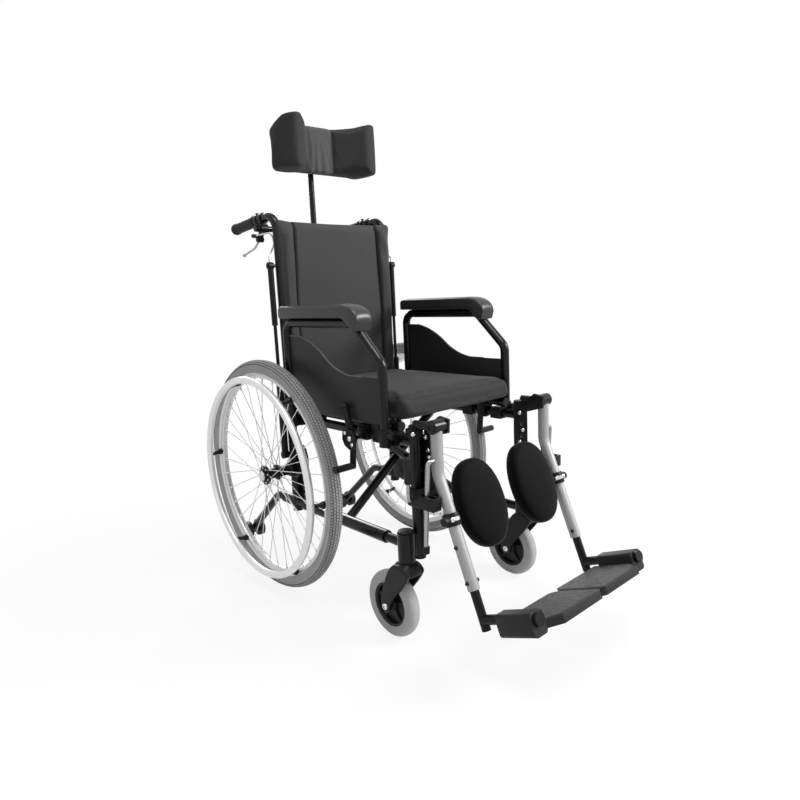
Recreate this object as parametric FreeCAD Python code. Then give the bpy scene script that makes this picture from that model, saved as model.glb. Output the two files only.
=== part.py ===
import FreeCAD, Part
import math
import os

# Reclining wheelchair, built in millimetres. +Z is up, the chair faces -Y and
# the sitter's right side is at -X. While it is drawn, y = 0 is the rear axle
# and z = 0 the floor; every piece is shifted at the end so that y = 0 is the
# middle of the whole chair.

V = FreeCAD.Vector

# clearances
RUN = 0.05            # radial, shaft in its hole
APART = 0.3           # between pieces of different bodies

# the frame's overall sizes
FRAME_X = 176.0       # from the middle plane to a side frame
FRONT_Y = -480.0      # the front posts, ahead of the rear axle

# rear wheel
WHEEL_R = 300.0
WHEEL_X = FRAME_X + 76.0
TYRE_W = 34.0
TYRE_H = 34.0
RIM_W = 24.0
RIM_H = 13.0
HANDRIM_R = WHEEL_R - 47.0
HANDRIM_TUBE_R = 9.0
HANDRIM_X = WHEEL_X + 46.0
STANDOFFS = 6
SPOKES = 36
SPOKE_R = 1.2
HUB_R = 15.0
FLANGE_R = 26.0
HUB_IN_X = WHEEL_X - 30.0
HUB_OUT_X = WHEEL_X + 24.0
AXLE_R = 6.0

# caster
CASTER_R = 75.0
CASTER_X = FRAME_X + 33.0
CASTER_STEM_Y = FRONT_Y + 5.0
CASTER_TRAIL = 51.0
CASTER_TYRE_W = 30.0
CASTER_TYRE_H = 24.0
CASTER_HUB_R = CASTER_R - CASTER_TYRE_H
CASTER_AXLE_R = 5.0
HUB_HOLES = 5
STEM_R = 8.0
HOUSING_R = 19.0
HOUSING_Z0 = 2 * CASTER_R + 39.0
HOUSING_Z1 = HOUSING_Z0 + 63.0
FORK_GAP = 18.0       # from the wheel's middle plane to a fork leg
FORK_T = 8.0

# side frame
RAIL_R = 11.0
POST_R = RAIL_R + 2.0
FRONT_FOOT_Z = HOUSING_Z0 + 3.0
LOWER_Z = FRONT_FOOT_Z + RAIL_R + 2.0
REAR_FOOT_Z = LOWER_Z - RAIL_R - 8.0
UPPER_Z = 442.0
REAR_POST_TOP = UPPER_Z + RAIL_R - 7.0
FRONT_POST_TOP = UPPER_Z + RAIL_R + 21.0
CAP_H = 4.0
CLAMP_WALL = 3.0
BOSS_R = 16.0

# anti-tip bar
STUB_R = RAIL_R + 3.5
STUB_Y = 60.0
TIP_BEND_Y = 96.0
TIP_END_Y = 268.0
TIP_END_Z = 58.0
ROLLER_R = 25.0
ROLLER_W = 14.0

# back
HINGE_Z = REAR_POST_TOP + 26.0
LUG_R = 14.0
LUG_T = 8.0
CHEEK_T = 5.0
HINGE_PIN_R = 6.0
CANE_R = 11.0
CANE_TOP = 962.0
HANDLE_Y = 214.0
HANDLE_DROP = 18.0
CANE_BEND = 40.0
GRIP_WALL = 5.0
GRIP_R = CANE_R + GRIP_WALL
GRIP_Y0 = 98.0
GRIP_RIBS = 9
PERCH_Y0 = 80.0
PERCH_Y1 = 95.0
LEVER_PIN = (87.0, CANE_TOP - 56.0)
LEVER_TIP = (178.0, CANE_TOP - 90.0)
CABLE_R = 2.5
CABLE_X = FRAME_X + CANE_R + 10.0
CABLE_BEND = 50.0
LOCK_BARREL_R = 9.0
LOCK_X = FRAME_X + CANE_R + LOCK_BARREL_R + 7.0
LOCK_LOW_Z = WHEEL_R + 42.0
LOCK_TOP_Z = CANE_TOP - 129.0
LOCK_PIN_R = 4.0
LOCK_BORE_R = 6.5
LOCK_ROD_R = 4.5
LOCK_BARREL_TOP = HINGE_Z + 88.0
LOCK_ROD_FOOT = HINGE_Z - 32.0

# cross brace and seat rails
BRACE_SLOPE = (UPPER_Z - LOWER_Z) / (2 * FRAME_X)
BRACE_GAP = 1.23      # between a brace leg and the upper rail that it passes
SEAT_Z = UPPER_Z + (2 * RAIL_R + BRACE_GAP) * math.sqrt(1 + BRACE_SLOPE ** 2)
SEAT_Y0 = FRONT_Y + 40.0
SEAT_Y1 = -30.0
SADDLES = (-130.0, FRONT_Y + 110.0)
SLEEVE_R = RAIL_R + 4.0
SLEEVE_Y0 = FRONT_Y + 107.0
SLEEVE_Y1 = -40.0
BRACE_A_Y = -222.0
BRACE_B_Y = BRACE_A_Y - 2 * RAIL_R - 6.0
BOLT_R = 5.0

# armrest
ARM_R = 11.0
ARM_X = FRAME_X + RAIL_R + ARM_R + 5.0
ARM_FRONT_Y = FRONT_Y + 63.0
ARM_REAR_Y = -55.0
ARM_FOOT_Z = UPPER_Z
ARM_BEND_Z = 606.0
ARM_TOP_Z = 690.0
ARM_TOP_Y = ARM_FRONT_Y + 89.0
SOCKET_R = ARM_R + 3.0
PAD_W = 48.0
PANEL_T = 3.0
PANEL_BOTTOM = UPPER_Z + 32.0

# brake, set so that its shoe stands clear of the tyre at rest
BRAKE_X = ARM_X + 14.0
BRAKE_Y = -WHEEL_R - 22.0
BRAKE_Z = UPPER_Z - 6.0
BRAKE_PIN_R = 5.0
SHOE_R = 8.0
SHOE_GAP = 14.5
SHOE_ANGLE = math.radians(12.7)
SHOE_Y = -(WHEEL_R + SHOE_R + SHOE_GAP) * math.cos(SHOE_ANGLE)
SHOE_Z = WHEEL_R + (WHEEL_R + SHOE_R + SHOE_GAP) * math.sin(SHOE_ANGLE)

# legrest
LEG_R = 12.5
LEG_X = FRAME_X - POST_R + LEG_R + 4.5
PIVOT_Y = FRONT_Y - POST_R - LEG_R - 42.5
PIVOT_Z = FRONT_POST_TOP + 11.0
BEND_Z = PIVOT_Z - 97.0
LEG_TILT = 21.9
LEG_END = 238.0       # distances along the leg from its bend
EXT_R = LEG_R - 3.0
EXT_TOP = 120.0
EXT_END = 319.0
ARM_AT = 298.0
FOOT_ARM_R = 10.0
BLOCK_D0 = 50.0       # distances in front of the leg's axis
BLOCK_D1 = 137.0
PLATE_D0 = 36.0
PLATE_D1 = 160.0
PLATE_TOP = 306.0
PLATE_T = 17.0
PLATE_GAP = 1.5       # from the chair's middle plane to a plate
ROD_R = 5.0
ROD_X = LEG_X + LEG_R + 14.5
ROD_PIN_Z = PIVOT_Z - 68.0
GUIDE_Y = PIVOT_Y + 7.0
GUIDE_Z = PIVOT_Z - 152.0
ROD_END_Z = GUIDE_Z - 97.0
SLOT_AHEAD = 25.0     # the guide's slot, from the rod's axis at rest
SLOT_BEHIND = 14.0
LEVER_X = ROD_X + 21.0
LEVER_Y = FRONT_Y - POST_R - 17.0
RING_R = POST_R + 6.0
PAD_HALF_W = 67.0
PAD_HALF_H = 95.0
PAD_X = LEG_X - PAD_HALF_W - 23.0
PAD_AT = 83.0
PAD_REAR = LEG_R + 2.2  # the pad's back, behind the leg's axis
CLAMP_AT = 95.0

# headrest
BAR_R = 8.0
BAR_Y = 66.0
BAR_Z = CANE_TOP - 31.0
BAR_HALF = FRAME_X + 24.0
HEAD_POST_R = 8.0
HEAD_POST_Y = BAR_Y + BAR_R + HEAD_POST_R + 8.0
HEAD_POST_Z0 = BAR_Z - 81.0
HEAD_PIN_Z = BAR_Z + 189.0
HEAD_HALF_W = 140.0
HEAD_WING_T = 36.0
HEAD_MIDDLE = 30.0    # half the flat between the wings
HEAD_REAR_Y = HEAD_POST_Y - 22.0
HEAD_FRONT_Y = HEAD_REAR_Y - 116.0
HEAD_BACK_T = 34.0
HEAD_Z0 = HEAD_PIN_Z - 46.0
HEAD_Z1 = HEAD_PIN_Z + 85.0

# cushion and upholstery
CUSHION_HALF_W = FRAME_X + 6.0
CUSHION_Y0 = FRONT_Y + 18.0
CUSHION_Y1 = -28.0
CUSHION_Z1 = SEAT_Z + RAIL_R + 51.0
BACK_HALF_W = FRAME_X + CANE_R + 3.0
BACK_Z0 = HINGE_Z + 34.0
BACK_Z1 = CANE_TOP - 12.0
SEAM_X = FRAME_X - 35.0


def cyl(a, b, r):
    """Round bar of radius r from point a to point b."""
    a, b = V(*a), V(*b)
    return Part.makeCylinder(r, (b - a).Length, a, b - a)


def box(x0, x1, y0, y1, z0, z1):
    """Block between two corners."""
    return Part.makeBox(x1 - x0, y1 - y0, z1 - z0, V(x0, y0, z0))


def joined(shapes):
    """One solid out of shapes that meet."""
    whole = shapes[0].multiFuse(shapes[1:])
    return whole.removeSplitter()


def path_through(points, bend):
    """Wire of straight runs joined by tangent arcs of radius bend."""
    points = [V(*p) for p in points]
    edges = []
    start = points[0]
    for i in range(1, len(points) - 1):
        back = (points[i - 1] - points[i]).normalize()
        on = (points[i + 1] - points[i]).normalize()
        half = back.getAngle(on) / 2
        leg = bend / math.tan(half)
        first = points[i] + back * leg
        last = points[i] + on * leg
        middle = (back + on).normalize()
        centre = points[i] + middle * (bend / math.sin(half))
        edges.append(Part.LineSegment(start, first).toShape())
        edges.append(Part.Arc(first, centre - middle * bend, last).toShape())
        start = last
    edges.append(Part.LineSegment(start, points[-1]).toShape())
    return Part.Wire(edges)


def bent_bar(points, r, bend):
    """Round bar swept along a bent path."""
    path = path_through(points, bend)
    start = V(*points[0])
    ring = Part.Wire(Part.Circle(start, V(*points[1]) - start, r).toShape())
    return Part.Solid(path.makePipeShell([ring], True, False))


def turned(profile, y, z):
    """Solid turned about the line along X through y, z; profile is in x, radius."""
    points = [V(x, y, z + r) for x, r in profile]
    face = Part.Face(Part.makePolygon(points + points[:1]))
    return face.revolve(V(0, y, z), V(1, 0, 0), 360)


def plate_x(points, x0, x1):
    """Flat plate between x0 and x1 with an outline in y, z."""
    outline = [V(x0, y, z) for y, z in points]
    return Part.Face(Part.makePolygon(outline + outline[:1])).extrude(V(x1 - x0, 0, 0))


def on_leg(shape):
    """Tilts a shape drawn round an upright leg with its bend at the origin."""
    shape.rotate(V(0, 0, 0), V(1, 0, 0), -LEG_TILT)
    shape.translate(V(0, PIVOT_Y, BEND_Z))
    return shape


def leg_point(x, along, ahead):
    """Point of the chair at these distances along and ahead of the leg."""
    a = math.radians(LEG_TILT)
    y = PIVOT_Y - along * math.sin(a) - ahead * math.cos(a)
    z = BEND_Z - along * math.cos(a) + ahead * math.sin(a)
    return (x, y, z)


def tyre():
    x, half = -WHEEL_X, TYRE_W / 2
    inner = WHEEL_R - TYRE_H
    waist = WHEEL_R - half * 0.92
    a, b = V(x - RIM_W / 2, 0, inner), V(x + RIM_W / 2, 0, inner)
    c, d = V(x + half, 0, waist), V(x - half, 0, waist)
    edges = [
        Part.LineSegment(a, b).toShape(),
        Part.LineSegment(b, c).toShape(),
        Part.Arc(c, V(x, 0, WHEEL_R), d).toShape(),
        Part.LineSegment(d, a).toShape(),
    ]
    face = Part.Face(Part.Wire(edges))
    face.translate(V(0, 0, WHEEL_R))
    return face.revolve(V(0, 0, WHEEL_R), V(1, 0, 0), 360)


def spoke(i, rim_r):
    """Spoke i, from a hub flange to the rim, leaning to one side or the other."""
    step = 2 * math.pi / SPOKES
    lean = 4.6 * step * (1 if i % 4 < 2 else -1)
    flange = HUB_IN_X + 9 if i % 2 else HUB_OUT_X - 9
    flange += 1.6 if i % 4 < 2 else -1.6
    low, high = i * step + lean, i * step
    r0 = FLANGE_R - 5
    a = (-flange, r0 * math.sin(low), WHEEL_R + r0 * math.cos(low))
    b = (-WHEEL_X, rim_r * math.sin(high), WHEEL_R + rim_r * math.cos(high))
    return cyl(a, b, SPOKE_R)


def spoked_wheel():
    """Rim, hub and spokes in one solid, and the handrim with its standoffs in another."""
    x, half = -WHEEL_X, RIM_W / 2
    top = WHEEL_R - TYRE_H
    rim = turned([(x - half, top), (x + half, top), (x + half - 3, top - RIM_H + 4),
                  (x + half - 8, top - RIM_H), (x - half + 8, top - RIM_H),
                  (x - half + 3, top - RIM_H + 4)], 0, WHEEL_R)
    hub = turned([(-HUB_OUT_X, AXLE_R + RUN), (-HUB_IN_X, AXLE_R + RUN), (-HUB_IN_X, HUB_R),
                  (-HUB_IN_X - 6, HUB_R), (-HUB_IN_X - 6, FLANGE_R), (-HUB_IN_X - 12, FLANGE_R),
                  (-HUB_IN_X - 12, HUB_R), (-HUB_OUT_X + 12, HUB_R), (-HUB_OUT_X + 12, FLANGE_R),
                  (-HUB_OUT_X + 6, FLANGE_R), (-HUB_OUT_X + 6, HUB_R), (-HUB_OUT_X, HUB_R)],
                 0, WHEEL_R)
    spokes = [spoke(i, top - RIM_H / 2) for i in range(SPOKES)]
    wheel = hub.multiFuse([rim] + spokes)
    cap = cyl((-HUB_OUT_X, 0, WHEEL_R), (-HUB_OUT_X - 6, 0, WHEEL_R), HUB_R - 3)
    ring = Part.makeTorus(HANDRIM_R, HANDRIM_TUBE_R, V(-HANDRIM_X, 0, WHEEL_R), V(1, 0, 0))
    stands = []
    for i in range(STANDOFFS):
        a = 2 * math.pi * (i + 0.3) / STANDOFFS
        y, z = math.sin(a), math.cos(a)
        r0, r1 = top - RIM_H + 5, HANDRIM_R - 3
        stands.append(cyl((x - half + 2, r0 * y, WHEEL_R + r0 * z),
                          (-HANDRIM_X, r1 * y, WHEEL_R + r1 * z), 5))
    handrim = ring.multiFuse(stands).cut(rim)
    return Part.makeCompound([wheel, cap, handrim])


def caster_fork():
    x, y, z = -CASTER_X, CASTER_STEM_Y, HOUSING_Z0 - 3
    stem = cyl((x, y, z - 12), (x, y, HOUSING_Z1 - 8), STEM_R)
    crown = box(x - FORK_GAP - FORK_T, x + FORK_GAP + FORK_T, y - 24, y + 30, z - 24, z)
    axle_y = y + CASTER_TRAIL
    legs = []
    for side in (-1, 1):
        a = x + side * FORK_GAP
        outline = [(y - 24, z), (y - 22, z - 26), (axle_y - 14, CASTER_R - 6), (axle_y - 4, CASTER_R - 15),
                   (axle_y + 10, CASTER_R - 11), (axle_y + 14, CASTER_R + 4), (y + 30, z - 18), (y + 30, z)]
        legs.append(plate_x(outline, min(a, a + side * FORK_T), max(a, a + side * FORK_T)))
    reach = FORK_GAP + FORK_T
    axle = cyl((x - reach - 4, axle_y, CASTER_R), (x + reach + 4, axle_y, CASTER_R), CASTER_AXLE_R)
    heads = [cyl((x + s * reach, axle_y, CASTER_R), (x + s * (reach + 5), axle_y, CASTER_R), 8)
             for s in (-1, 1)]
    return joined([stem, crown] + legs + [axle] + heads)


def caster_wheel():
    x, y, half = -CASTER_X, CASTER_STEM_Y + CASTER_TRAIL, CASTER_TYRE_W / 2
    web0, web1, lip = 20, CASTER_HUB_R - 11, CASTER_HUB_R - 8
    hub = turned([(x - 15, CASTER_AXLE_R + RUN), (x + 15, CASTER_AXLE_R + RUN), (x + 15, 16), (x + 5, web0),
                  (x + 5, web1), (x + 12, lip), (x + 12, CASTER_HUB_R), (x - 12, CASTER_HUB_R),
                  (x - 12, lip), (x - 5, web1), (x - 5, web0), (x - 15, 16)], y, CASTER_R)
    ring = (web0 + web1) / 2
    for i in range(HUB_HOLES):
        a = 2 * math.pi * i / HUB_HOLES
        cy, cz = y + ring * math.sin(a), CASTER_R + ring * math.cos(a)
        hub = hub.cut(cyl((x - 8, cy, cz), (x + 8, cy, cz), (web1 - web0) / 2 - 2))
    tread = turned([(x - 12, CASTER_HUB_R), (x + 12, CASTER_HUB_R), (x + half, CASTER_HUB_R + 5),
                    (x + half, CASTER_R - 8), (x + half - 5, CASTER_R - 2), (x + 5, CASTER_R),
                    (x - 5, CASTER_R), (x - half + 5, CASTER_R - 2), (x - half, CASTER_R - 8),
                    (x - half, CASTER_HUB_R + 5)], y, CASTER_R)
    return Part.makeCompound([hub, tread])


def side_frame():
    x = -FRAME_X
    rear = cyl((x, 0, REAR_FOOT_Z), (x, 0, REAR_POST_TOP), POST_R)
    front = cyl((x, FRONT_Y, FRONT_FOOT_Z), (x, FRONT_Y, FRONT_POST_TOP), POST_R)
    upper = cyl((x, 0, UPPER_Z), (x, FRONT_Y, UPPER_Z), RAIL_R)
    lower = cyl((x, 0, LOWER_Z), (x, FRONT_Y, LOWER_Z), RAIL_R)
    stub = cyl((x, 0, LOWER_Z), (x, STUB_Y, LOWER_Z), STUB_R)
    boss = cyl((x - POST_R - 6, 0, WHEEL_R), (x + POST_R + 4, 0, WHEEL_R), BOSS_R)
    lug = plate_x([(-LUG_R, REAR_POST_TOP - 8), (LUG_R, REAR_POST_TOP - 8), (LUG_R, HINGE_Z),
                   (-LUG_R, HINGE_Z)], x - LUG_T / 2, x + LUG_T / 2)
    eye = cyl((x - LUG_T / 2, 0, HINGE_Z), (x + LUG_T / 2, 0, HINGE_Z), LUG_R)
    housing = cyl((-CASTER_X, CASTER_STEM_Y, HOUSING_Z0), (-CASTER_X, CASTER_STEM_Y, HOUSING_Z1), HOUSING_R)
    web = box(-CASTER_X, x, FRONT_Y - 7, FRONT_Y + 17, HOUSING_Z0 + 6, HOUSING_Z1 - 6)
    lock_pin = cyl((x, 0, LOCK_LOW_Z), (-LOCK_X - 10, 0, LOCK_LOW_Z), LOCK_PIN_R)
    whole = joined([rear, front, upper, lower, stub, boss, lug, eye, housing, web, lock_pin])
    stem_hole = cyl((-CASTER_X, CASTER_STEM_Y, HOUSING_Z0 - 10), (-CASTER_X, CASTER_STEM_Y, HOUSING_Z1 - 6),
                    STEM_R + RUN)
    holes = [stem_hole,
             cyl((x - 20, 0, HINGE_Z), (x + 20, 0, HINGE_Z), HINGE_PIN_R + RUN),
             cyl((x - 30, 0, WHEEL_R), (x + 30, 0, WHEEL_R), AXLE_R + RUN),
             cyl((x, POST_R + 2, LOWER_Z), (x, STUB_Y + 1, LOWER_Z), RAIL_R + RUN)]
    return whole.cut(Part.makeCompound(holes))


def rail_clamp(y, half, top):
    """Block clamped round the upper rail."""
    wide = RAIL_R + CLAMP_WALL + 1.5
    body = box(-FRAME_X - wide, -FRAME_X + wide, y - half, y + half, UPPER_Z - RAIL_R - CLAMP_WALL, top)
    return body, cyl((-FRAME_X, y - 40, UPPER_Z), (-FRAME_X, y + 40, UPPER_Z), RAIL_R + RUN)


def saddle(y):
    body, rail = rail_clamp(y, 12, SEAT_Z + 4)
    gap = RAIL_R + APART
    seat = cyl((-FRAME_X, y - 20, SEAT_Z), (-FRAME_X, y + 20, SEAT_Z), gap)
    mouth = box(-FRAME_X - gap, -FRAME_X + gap, y - 20, y + 20, SEAT_Z, SEAT_Z + 20)
    return body.cut(rail).cut(seat).cut(mouth)


def arm_socket(y):
    body, rail = rail_clamp(y, 16, UPPER_Z + RAIL_R + CLAMP_WALL)
    cup = cyl((-ARM_X, y, ARM_FOOT_Z - 14), (-ARM_X, y, ARM_FOOT_Z + 24), SOCKET_R)
    hole = cyl((-ARM_X, y, ARM_FOOT_Z - 0.2), (-ARM_X, y, ARM_FOOT_Z + 40), ARM_R + RUN)
    return body.fuse(cup).cut(rail).cut(hole)


def frame_fittings():
    x = -FRAME_X
    body, rail = rail_clamp(BRAKE_Y, 16, UPPER_Z + RAIL_R + CLAMP_WALL)
    pin = cyl((x - RAIL_R - 3, BRAKE_Y, BRAKE_Z), (-BRAKE_X - 6, BRAKE_Y, BRAKE_Z), BRAKE_PIN_R)
    brake_clamp = body.fuse(pin).cut(rail)
    knob_z = UPPER_Z + 12
    front = arm_socket(ARM_FRONT_Y)
    knob_y = ARM_FRONT_Y - SOCKET_R + 0.5
    knob = cyl((-ARM_X, knob_y, knob_z), (-ARM_X, knob_y - 18, knob_z), 9).cut(front)
    inner = x + POST_R + 4
    axle = cyl((inner + 2, 0, WHEEL_R), (-HUB_OUT_X, 0, WHEEL_R), AXLE_R)
    axle_head = cyl((inner, 0, WHEEL_R), (inner + 7, 0, WHEEL_R), 11)
    caps = []
    for y, foot in ((0, REAR_FOOT_Z), (FRONT_Y, FRONT_FOOT_Z)):
        caps.append(cyl((x, y, foot - CAP_H), (x, y, foot), POST_R + 0.5))
    caps.append(cyl((x, FRONT_Y, FRONT_POST_TOP), (x, FRONT_Y, FRONT_POST_TOP + CAP_H), POST_R))
    caps.append(cyl((-CASTER_X, CASTER_STEM_Y, HOUSING_Z1),
                    (-CASTER_X, CASTER_STEM_Y, HOUSING_Z1 + 4), HOUSING_R - 2))
    solids = [*[saddle(y) for y in SADDLES], front, knob, arm_socket(ARM_REAR_Y), brake_clamp,
              axle.fuse(axle_head)]
    return Part.makeCompound(solids + caps)


def anti_tip_bar():
    x = -FRAME_X
    bar = bent_bar([(x, POST_R + 2.5, LOWER_Z), (x, TIP_BEND_Y, LOWER_Z), (x, TIP_END_Y, TIP_END_Z)],
                   RAIL_R, 45)
    y, z = TIP_END_Y, TIP_END_Z
    eye = cyl((x - RAIL_R - 0.5, y, z), (x + RAIL_R + 0.5, y, z), RAIL_R + 2)
    reach = RAIL_R + ROLLER_W + 4
    axle = cyl((x - reach, y, z), (x + reach, y, z), 4)
    return joined([bar, eye, axle])


def anti_tip_rollers():
    x, y, z = -FRAME_X, TIP_END_Y, TIP_END_Z
    rollers = []
    for side in (-1, 1):
        a = x + side * (RAIL_R + 1)
        b = a + side * ROLLER_W
        wheel = cyl((a, y, z), (b, y, z), ROLLER_R).cut(cyl((a, y, z), (b, y, z), 4 + RUN))
        rollers.append(wheel)
    return Part.makeCompound(rollers)


def handle_z(y):
    """Height of the push handle's axis, which falls a little to the rear."""
    return CANE_TOP - HANDLE_DROP * y / HANDLE_Y


def cane_path():
    x = -FRAME_X
    return [(x, 0, HINGE_Z + 24), (x, 0, CANE_TOP), (x, HANDLE_Y, handle_z(HANDLE_Y))]


def back_cane():
    x = -FRAME_X
    tube = bent_bar(cane_path(), CANE_R, CANE_BEND)
    plug = cyl((x, 0, HINGE_Z + 20), (x, 0, HINGE_Z + 44), CANE_R + 3)
    cheeks = []
    for side in (-1, 1):
        a = x + side * (LUG_T / 2 + APART)
        b = a + side * CHEEK_T
        outline = [(-LUG_R, HINGE_Z), (LUG_R, HINGE_Z), (LUG_R, HINGE_Z + 30), (-LUG_R, HINGE_Z + 30)]
        cheeks.append(plate_x(outline, min(a, b), max(a, b)))
        cheeks.append(cyl((a, 0, HINGE_Z), (b, 0, HINGE_Z), LUG_R))
    reach = LUG_T / 2 + APART + CHEEK_T + 2
    pin = cyl((x - reach, 0, HINGE_Z), (x + reach, 0, HINGE_Z), HINGE_PIN_R)
    lock_pin = cyl((x, 0, LOCK_TOP_Z), (-LOCK_X - 10, 0, LOCK_TOP_Z), LOCK_PIN_R)
    whole = joined([tube, plug] + cheeks + [lock_pin])
    gap = box(x - LUG_T / 2 - APART, x + LUG_T / 2 + APART, -20, 20, HINGE_Z - 20, HINGE_Z + LUG_R + 1)
    return whole.cut(gap).fuse(pin).removeSplitter()


def push_grip():
    """Rubber grip with round ribs on the rear end of the handle."""
    x = -FRAME_X
    slope = math.atan2(HANDLE_DROP, HANDLE_Y)
    start = V(x, GRIP_Y0, handle_z(GRIP_Y0))
    run = V(0, math.cos(slope), -math.sin(slope))
    length = (HANDLE_Y + 4 - GRIP_Y0) / math.cos(slope)
    body = Part.makeCylinder(GRIP_R - 1.5, length, start, run)
    ribs = []
    for i in range(GRIP_RIBS):
        at = start + run * (6 + i * (length - 18) / GRIP_RIBS)
        ribs.append(Part.makeCylinder(GRIP_R, 7, at, run))
    ribs.append(Part.makeCylinder(GRIP_R + 2, 4, start, run))
    whole = body.multiFuse(ribs)
    inside = (HANDLE_Y + 0.2 - GRIP_Y0) / math.cos(slope)
    return whole.cut(Part.makeCylinder(CANE_R + RUN, inside + 2, start - run * 2, run))


def release_cable():
    """Outer cable from the perch, forward and then down to the lock."""
    y, z = LEVER_PIN[0] - 6, LEVER_PIN[1] + 8
    return bent_bar([(-CABLE_X, y, z), (-CABLE_X, 4, z), (-CABLE_X, 4, LOCK_TOP_Z + 13)],
                    CABLE_R, CABLE_BEND)


def handle_fittings():
    """Lever perch, release cable and the clamp that carries the headrest bar."""
    x = -FRAME_X
    tube = bent_bar(cane_path(), CANE_R + RUN, CANE_BEND)
    perch = box(x - 15, x + 15, PERCH_Y0, PERCH_Y1, LEVER_PIN[1] - 9, CANE_TOP + 8)
    lug = box(-CABLE_X - 5, x - 10, PERCH_Y0, PERCH_Y1, LEVER_PIN[1] + 1, LEVER_PIN[1] + 15)
    slot = box(x - 4, x + 4, PERCH_Y0 - 1, PERCH_Y1 + 1, LEVER_PIN[1] - 20, LEVER_PIN[1] + 14)
    pin = cyl((x - 8, LEVER_PIN[0], LEVER_PIN[1]), (x + 8, LEVER_PIN[0], LEVER_PIN[1]), 3)
    cable = release_cable()
    perch = perch.fuse(lug).cut(tube).cut(slot).fuse(pin).cut(cable)
    clamp = box(x - 15, x + 15, BAR_Y - 13, BAR_Y + 13, BAR_Z - 13, CANE_TOP + 10)
    bore = cyl((x - 30, BAR_Y, BAR_Z), (x + 30, BAR_Y, BAR_Z), BAR_R + RUN)
    return Part.makeCompound([perch, cable, clamp.cut(tube).cut(bore)])


def release_lever():
    x = -FRAME_X
    y, z = LEVER_PIN
    eye = cyl((x - 3.6, y, z), (x + 3.6, y, z), 7)
    arm = bent_bar([(x, y, z), (x, y + 30, z - 20), (x, LEVER_TIP[0], LEVER_TIP[1])], 3, 20)
    tip = Part.makeSphere(5, V(x, LEVER_TIP[0], LEVER_TIP[1]))
    return joined([eye, arm, tip]).cut(cyl((x - 9, y, z), (x + 9, y, z), 3 + RUN))


def lock_cylinder():
    x, z = -LOCK_X, LOCK_LOW_Z
    eye = cyl((x - 8, 0, z), (x + 8, 0, z), 10)
    barrel = cyl((x, 0, z), (x, 0, LOCK_BARREL_TOP), LOCK_BARREL_R)
    bore = cyl((x, 0, z + 30), (x, 0, LOCK_BARREL_TOP + 1), LOCK_BORE_R)
    hole = cyl((x - 12, 0, z), (x + 12, 0, z), LOCK_PIN_R + RUN)
    return eye.fuse(barrel).cut(bore).cut(hole)


def lock_rod():
    x, z = -LOCK_X, LOCK_TOP_Z
    eye = cyl((x - 7, 0, z), (x + 7, 0, z), 9)
    rod = cyl((x, 0, z), (x, 0, LOCK_ROD_FOOT), LOCK_ROD_R)
    head = cyl((x, 0, z), (x, 0, z - 150), LOCK_BARREL_R - 1.5)
    hole = cyl((x - 12, 0, z), (x + 12, 0, z), LOCK_PIN_R + RUN)
    return joined([eye, rod, head]).cut(hole)


def arm_path():
    x = -ARM_X
    return [(x, ARM_FRONT_Y, ARM_FOOT_Z), (x, ARM_FRONT_Y, ARM_BEND_Z), (x, ARM_TOP_Y, ARM_TOP_Z),
            (x, ARM_REAR_Y, ARM_TOP_Z), (x, ARM_REAR_Y, ARM_FOOT_Z)]


def arm_tube():
    return bent_bar(arm_path(), ARM_R, 30)


def arm_pad():
    """Padded top, crowned across and dropping over the front bend."""
    top = ARM_TOP_Z + 42
    low = ARM_TOP_Z + ARM_R - 8
    rear = ARM_REAR_Y + 13
    front = ARM_TOP_Y - 52
    outline = [V(0, rear, low), V(0, rear, top - 6), V(0, rear - 8, top), V(0, front + 50, top),
               V(0, front + 24, top - 9), V(0, front, top - 36), V(0, front, top - 46),
               V(0, front + 14, top - 58), V(0, front + 54, low)]
    sections = []
    for x, inset in ((-1, 8), (-0.86, 2.5), (0, 0), (0.86, 2.5), (1, 8)):
        middle = V(0, (rear + front) / 2, (low + top) / 2)
        points = []
        for p in outline:
            away = V(0, p.y - middle.y, p.z - middle.z)
            points.append(V(-ARM_X + x * PAD_W / 2, p.y - inset * (1 if away.y > 0 else -1) * 0.6,
                            p.z - inset * (1 if away.z > 0 else 0)))
        sections.append(Part.makePolygon(points + points[:1]))
    pad = Part.makeLoft(sections, True, True)
    return pad.cut(bent_bar(arm_path(), ARM_R + 0.1, 30))


def side_panel():
    """Flat guard with an S-shaped top edge between the armrest's two legs."""
    y0, y1 = ARM_FRONT_Y + ARM_R + APART, ARM_REAR_Y - ARM_R - APART
    z0 = PANEL_BOTTOM
    x = -ARM_X - PANEL_T / 2
    high, low, turn = z0 + 184, z0 + 100, z0 + 142
    a, b = V(x, y1, high), V(x, y1 - 40, high)
    d, e = V(x, y0 + 60, low), V(x, y0, low)
    run = d.y - b.y
    c = V(x, b.y + 0.41 * run, turn)
    foot, heel = V(x, y0, z0), V(x, y1, z0)
    edges = [
        Part.LineSegment(a, b).toShape(),
        Part.Arc(b, V(x, b.y + 0.19 * run, turn + 29), c).toShape(),
        Part.Arc(c, V(x, b.y + 0.665 * run, turn - 34), d).toShape(),
        Part.LineSegment(d, e).toShape(),
        Part.LineSegment(e, foot).toShape(),
        Part.LineSegment(foot, heel).toShape(),
        Part.LineSegment(heel, a).toShape(),
    ]
    return Part.Face(Part.Wire(edges)).extrude(V(PANEL_T, 0, 0))


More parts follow.
